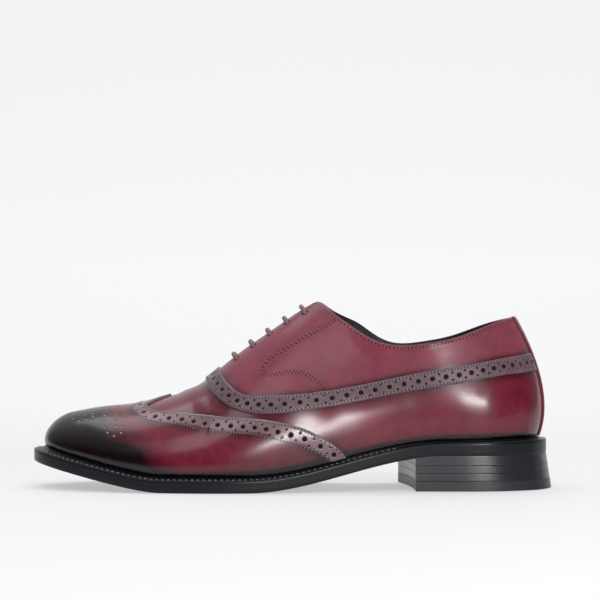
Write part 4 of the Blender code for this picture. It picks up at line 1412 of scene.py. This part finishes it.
# Section of a heel layer: share of its height, rise and inset in mm
LAYER_EDGE = (
    (0, 0.00, 0.08), (0, 0.03, 0.025), (0, 0.10, 0.0), (0, 0.30, 0.0), (0, 0.50, 0.0),
    (1, -0.40, 0.0), (1, -0.20, 0.0), (1, 0.02, 0.0), (1, 0.11, 0.025), (1, 0.14, 0.08),
)


def make_heel():
    layers = [("heel_top_piece", 0.0, TOP_PIECE, RUBBER, "heel_rubber")]
    floor = TOP_PIECE + GAP
    for i in range(LIFT_COUNT):
        layers.append((f"heel_lift_{i + 1}", floor, floor + LIFT, STACK, "heel_stack"))
        floor += LIFT + GAP
    layers.append(("heel_seat_lift", floor, None, STACK, "heel_stack"))
    for node, low, high, look, slot in layers:
        def z_at(share, rise, low=low, high=high):
            if high is None:
                return lambda x: low + (underside_z(x) - low + 0.0002) * share + rise
            return lambda x: low + (high - low) * share + rise + 0 * x
        rings = [heel_ring(z_at(share, rise * MM), inset * MM)
                 for share, rise, inset in LAYER_EDGE]
        faces = body_faces(len(rings), len(rings[0]))
        piece = add_mesh(node + "_worn", np.vstack(rings), faces, look, 50.0)
        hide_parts(node)


def make_sock():
    angle = np.linspace(0, math.pi, 181)
    lateral = outline_points(angle, -WALL - GAP + 0 * angle)
    medial = outline_points(-angle, -WALL - GAP + 0 * angle)
    lateral[:, 2] = seam_z(angle) + INSOLE_STEP
    medial[:, 2] = seam_z(-angle) + INSOLE_STEP
    across = np.linspace(0, 1, 21)[None, :, None]
    grid = lateral[:, None] * (1 - across) + medial[:, None] * across
    grid[..., 2] -= 0.0012 * np.sin(math.pi * across[..., 0]) ** 0.7
    sock = add_mesh("sock_leather", grid.reshape(-1, 3), grid_faces(*grid.shape[:2]), SOCK)
    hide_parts("insole")


def make_tongue():
    angles = np.linspace(ridge_angle(TONGUE_START), ridge_angle(TONGUE_END), 90)
    share = top_share(angles)
    seated = WALL + GAP
    free = WALL + 2 * LACE_RADIUS + 2 * LACE_CLEARANCE
    depth = seated + (free - seated) * smoothstep((share - TONGUE_START)
                                                  / (TONGUE_FREE - TONGUE_START))
    heights = np.linspace(TONGUE_EDGE, 0.93, 12)
    sheets = []
    for extra in (0.0, TONGUE_WALL):
        columns = []
        for sign in (1, -1):
            angle, t = np.meshgrid(angles * sign, heights, indexing="ij")
            columns.append(skin(angle, t) - skin_normal(angle, t)
                           * (depth[:, None, None] + extra))
        slope = ridge_slope(share)
        down = unit(np.stack((slope, 0 * slope, -1 + 0 * slope), -1))
        middle = (topline_point(angles) + topline_point(-angles)) / 2
        middle = (middle + down * (depth + extra)[:, None])[:, None]
        sheets.append(np.concatenate((columns[0], middle, columns[1][:, ::-1]), 1))
    grid = np.concatenate((sheets[0], sheets[1][:, ::-1]), 1)
    faces = body_faces(*grid.shape[:2])
    points = grid.reshape(-1, 3)
    tongue = add_mesh("tongue_leather", points, faces, CALF,
                      shade=np.full(len(points), 0.3))
    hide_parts("tongue")


# A bar's end from under the facing to over it: way inwards and along in lace radii,
# level, and share of the level's height
LACE_STEPS = (
    (0.60, 1.50, "under", 1.00), (0.27, 0.40, "under", 0.85), (0.00, 0.00, "within", 0.86),
    (0.00, 0.00, "within", 0.14), (0.45, 0.00, "over", 0.65), (1.54, 0.00, "over", 1.00),
)


def bar_side(row, side, towards):
    angle, t, along, _ = eyelets[row, side]
    place, normal = skin(angle, t), skin_normal(angle, t)
    inwards = unit(np.cross(normal, along))
    if inwards[1] * (1 if side else -1) > 0:
        inwards = -inwards
    over = LACE_RADIUS + LACE_CLEARANCE
    heights = {"under": -WALL - over, "within": -WALL, "over": over * 0.92}
    return [place + normal * heights[level] * share
            + (inwards * inner + along * run * towards) * LACE_RADIUS
            for inner, run, level, share in LACE_STEPS]


def lace_route():
    route = []
    last = EYELET_ROWS - 1
    for row in range(EYELET_ROWS):
        first_side = row % 2
        back, on = (-1 if row else 1), (1 if row < last else -1)
        rise = bar_side(row, first_side, back)
        fall = bar_side(row, 1 - first_side, on)[::-1]
        _, _, along, ridge = eyelets[row, 0]
        if row == 0:
            route.append(rise[0] + along * LACE_END)
        normal = np.array((-along[2], 0.0, along[0]))
        middle = ridge + normal * (LACE_RADIUS + LACE_CLEARANCE) * 0.95
        near, far = rise[-1], fall[0]
        lift = (middle - (near + far) / 2) * 0.75
        route += rise + [near * 0.75 + far * 0.25 + lift, middle,
                         near * 0.25 + far * 0.75 + lift] + fall
        if row == last:
            route.append(fall[-1] - along * LACE_END)
    return np.array(route)


def tube(name, path, radius_of, sides, look):
    """A tube along a fine path, its sections carried along without twist."""
    path = np.asarray(path)
    along = unit(np.gradient(path, axis=0))
    normal = np.zeros_like(path)
    first = np.cross(along[0], (0.0, 0.0, 1.0))
    normal[0] = unit(first)
    for i in range(1, len(path)):
        moved = normal[i - 1] - along[i] * (normal[i - 1] @ along[i])
        normal[i] = unit(moved)
    second = np.cross(along, normal)
    phi = 2 * math.pi * np.arange(sides) / sides
    run = run_along(path)
    radius = radius_of(run[:, None], phi[None, :])
    points = (path[:, None] + normal[:, None] * (np.cos(phi)[None] * radius)[..., None]
              + second[:, None] * (np.sin(phi)[None] * radius)[..., None])
    return add_mesh(name, points.reshape(-1, 3), body_faces(len(path), sides), look,
                    60.0)


def make_laces():
    route = lace_route()
    run = run_along(route)
    tangent = np.gradient(route, run, axis=0)
    at = np.arange(0, run[-1], 0.00022)
    i = np.clip(np.searchsorted(run, at, side="right") - 1, 0, len(run) - 2)
    h = (run[i + 1] - run[i])[:, None]
    f = (at[:, None] - run[i][:, None]) / h
    path = ((2 * f ** 3 - 3 * f ** 2 + 1) * route[i] + (f ** 3 - 2 * f ** 2 + f) * h * tangent[i]
            + (-2 * f ** 3 + 3 * f ** 2) * route[i + 1] + (f ** 3 - f ** 2) * h * tangent[i + 1])

    def braid(run, phi):
        a = np.sin(4 * phi + run / 0.00036)
        b = np.sin(4 * phi - run / 0.00036)
        return LACE_RADIUS * (0.99 + 0.045 * np.maximum(a, b))

    laces = tube("laces_braided", path, braid, 20, CORD)
    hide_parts("laces")


CAMERA_PLACE = (-0.107, -1.3, 0.110)
CAMERA_LENS = 132.0
CAMERA_SENSOR = 36.0
FLOOR_DROP = 0.0002
SWEEP_START = 1.1
SWEEP_RADIUS = 0.9
SWEEP_TOP = 2.2
SWEEP_SIDES = (-2.6, 2.4)
# The sky behind and above: place on its way up and colour
SKY = (
    (0.0, (0.025, 0.026, 0.03)), (0.30, (0.04, 0.042, 0.046)),
    (0.7, (0.42, 0.43, 0.45)), (1.0, (0.95, 0.97, 1.0)),
)
SKY_STRENGTH = 0.85
# Lamps: place, aim, size and power
LIGHTS = (
    ("overhead", (-0.15, 0.30, 1.25), (-0.10, 0.02, 0.05), (1.3, 0.7), 7.0),
    ("high_front", (-0.06, -0.90, 1.02), (-0.08, 0.00, 0.07), (1.4, 0.55), 6.8),
    ("counter_glint", (0.315, -1.12, 0.265), (-0.01, -0.04, 0.055), (0.36, 0.07), 5.0),
)


def sweep_mesh():
    """A studio floor that curves up into a wall behind."""
    profile = [(-0.9, 0.0), (-0.6, 0.0), (0.0, 0.0), (0.6, 0.0), (SWEEP_START, 0.0)]
    for k in range(1, 25):
        turn = math.pi / 2 * k / 24
        profile.append((SWEEP_START + SWEEP_RADIUS * math.sin(turn),
                        SWEEP_RADIUS - SWEEP_RADIUS * math.cos(turn)))
    profile.append((SWEEP_START + SWEEP_RADIUS, SWEEP_TOP))
    points = [(x, y, z) for y, z in profile for x in SWEEP_SIDES]
    faces = grid_faces(len(profile), 2, flip=True)
    mesh = bpy.data.meshes.new("floor")
    mesh.from_pydata(points, [], faces)
    mesh.shade_smooth()
    return mesh


def make_stage():
    mesh = sweep_mesh()
    floor = bpy.data.objects.new("floor", mesh)
    look, paint, shader = material("floor", (0.40, 0.40, 0.402), 0.75, specular=0.1)
    shader.inputs["Emission Color"].default_value = (0.985, 0.99, 1.0, 1.0)
    spot = add_node(paint, "ShaderNodeTexCoord").outputs["Object"]
    depth = add_node(paint, "ShaderNodeSeparateXYZ", {0: spot}).outputs[1]
    glow = add_node(paint, "ShaderNodeMapRange", {0: depth, 1: 0.3, 2: 1.6, 3: 0.46,
                                                  4: 0.71})
    paint.links.new(glow.outputs[0], shader.inputs["Emission Strength"])
    mesh.materials.append(look)
    floor.location.z = -FLOOR_DROP
    bpy.context.scene.collection.objects.link(floor)
    world = bpy.data.worlds.new("studio")
    bpy.context.scene.world = world
    world.use_nodes = True
    tree = world.node_tree
    way = add_node(tree, "ShaderNodeTexCoord").outputs["Generated"]
    axes = add_node(tree, "ShaderNodeSeparateXYZ", {0: way})
    lean = add_node(tree, "ShaderNodeMath", {0: axes.outputs[1], 1: 0.55,
                                             2: axes.outputs[2]}, operation="MULTIPLY_ADD")
    place = add_node(tree, "ShaderNodeMapRange", {0: lean.outputs[0], 1: -0.6, 2: 1.2})
    background = tree.nodes["Background"]
    tree.links.new(ramp(tree, place.outputs[0], SKY), background.inputs[0])
    background.inputs[1].default_value = SKY_STRENGTH
    for name, spot, aim, size, power in LIGHTS:
        light = bpy.data.lights.new(name, "AREA")
        light.shape = "RECTANGLE"
        light.size, light.size_y = size
        light.energy = power
        lamp = bpy.data.objects.new(name, light)
        lamp.location = spot
        turn = (Vector(aim) - Vector(spot)).to_track_quat("-Z", "Y")
        lamp.rotation_euler = turn.to_euler()
        bpy.context.scene.collection.objects.link(lamp)
    camera = bpy.data.cameras.new("camera")
    camera.lens = CAMERA_LENS
    camera.sensor_width = CAMERA_SENSOR
    eye = bpy.data.objects.new("camera", camera)
    eye.location = CAMERA_PLACE
    eye.rotation_euler = (math.pi / 2, 0, 0)
    bpy.context.scene.collection.objects.link(eye)
    bpy.context.scene.camera = eye
    bpy.context.scene.view_settings.view_transform = "Standard"


make_uppers()
make_strip()
make_stitches()
make_welt_stitches()
make_lining()
make_sock()
make_tongue()
make_sole()
make_welt()
make_heel()
make_laces()
make_stage()
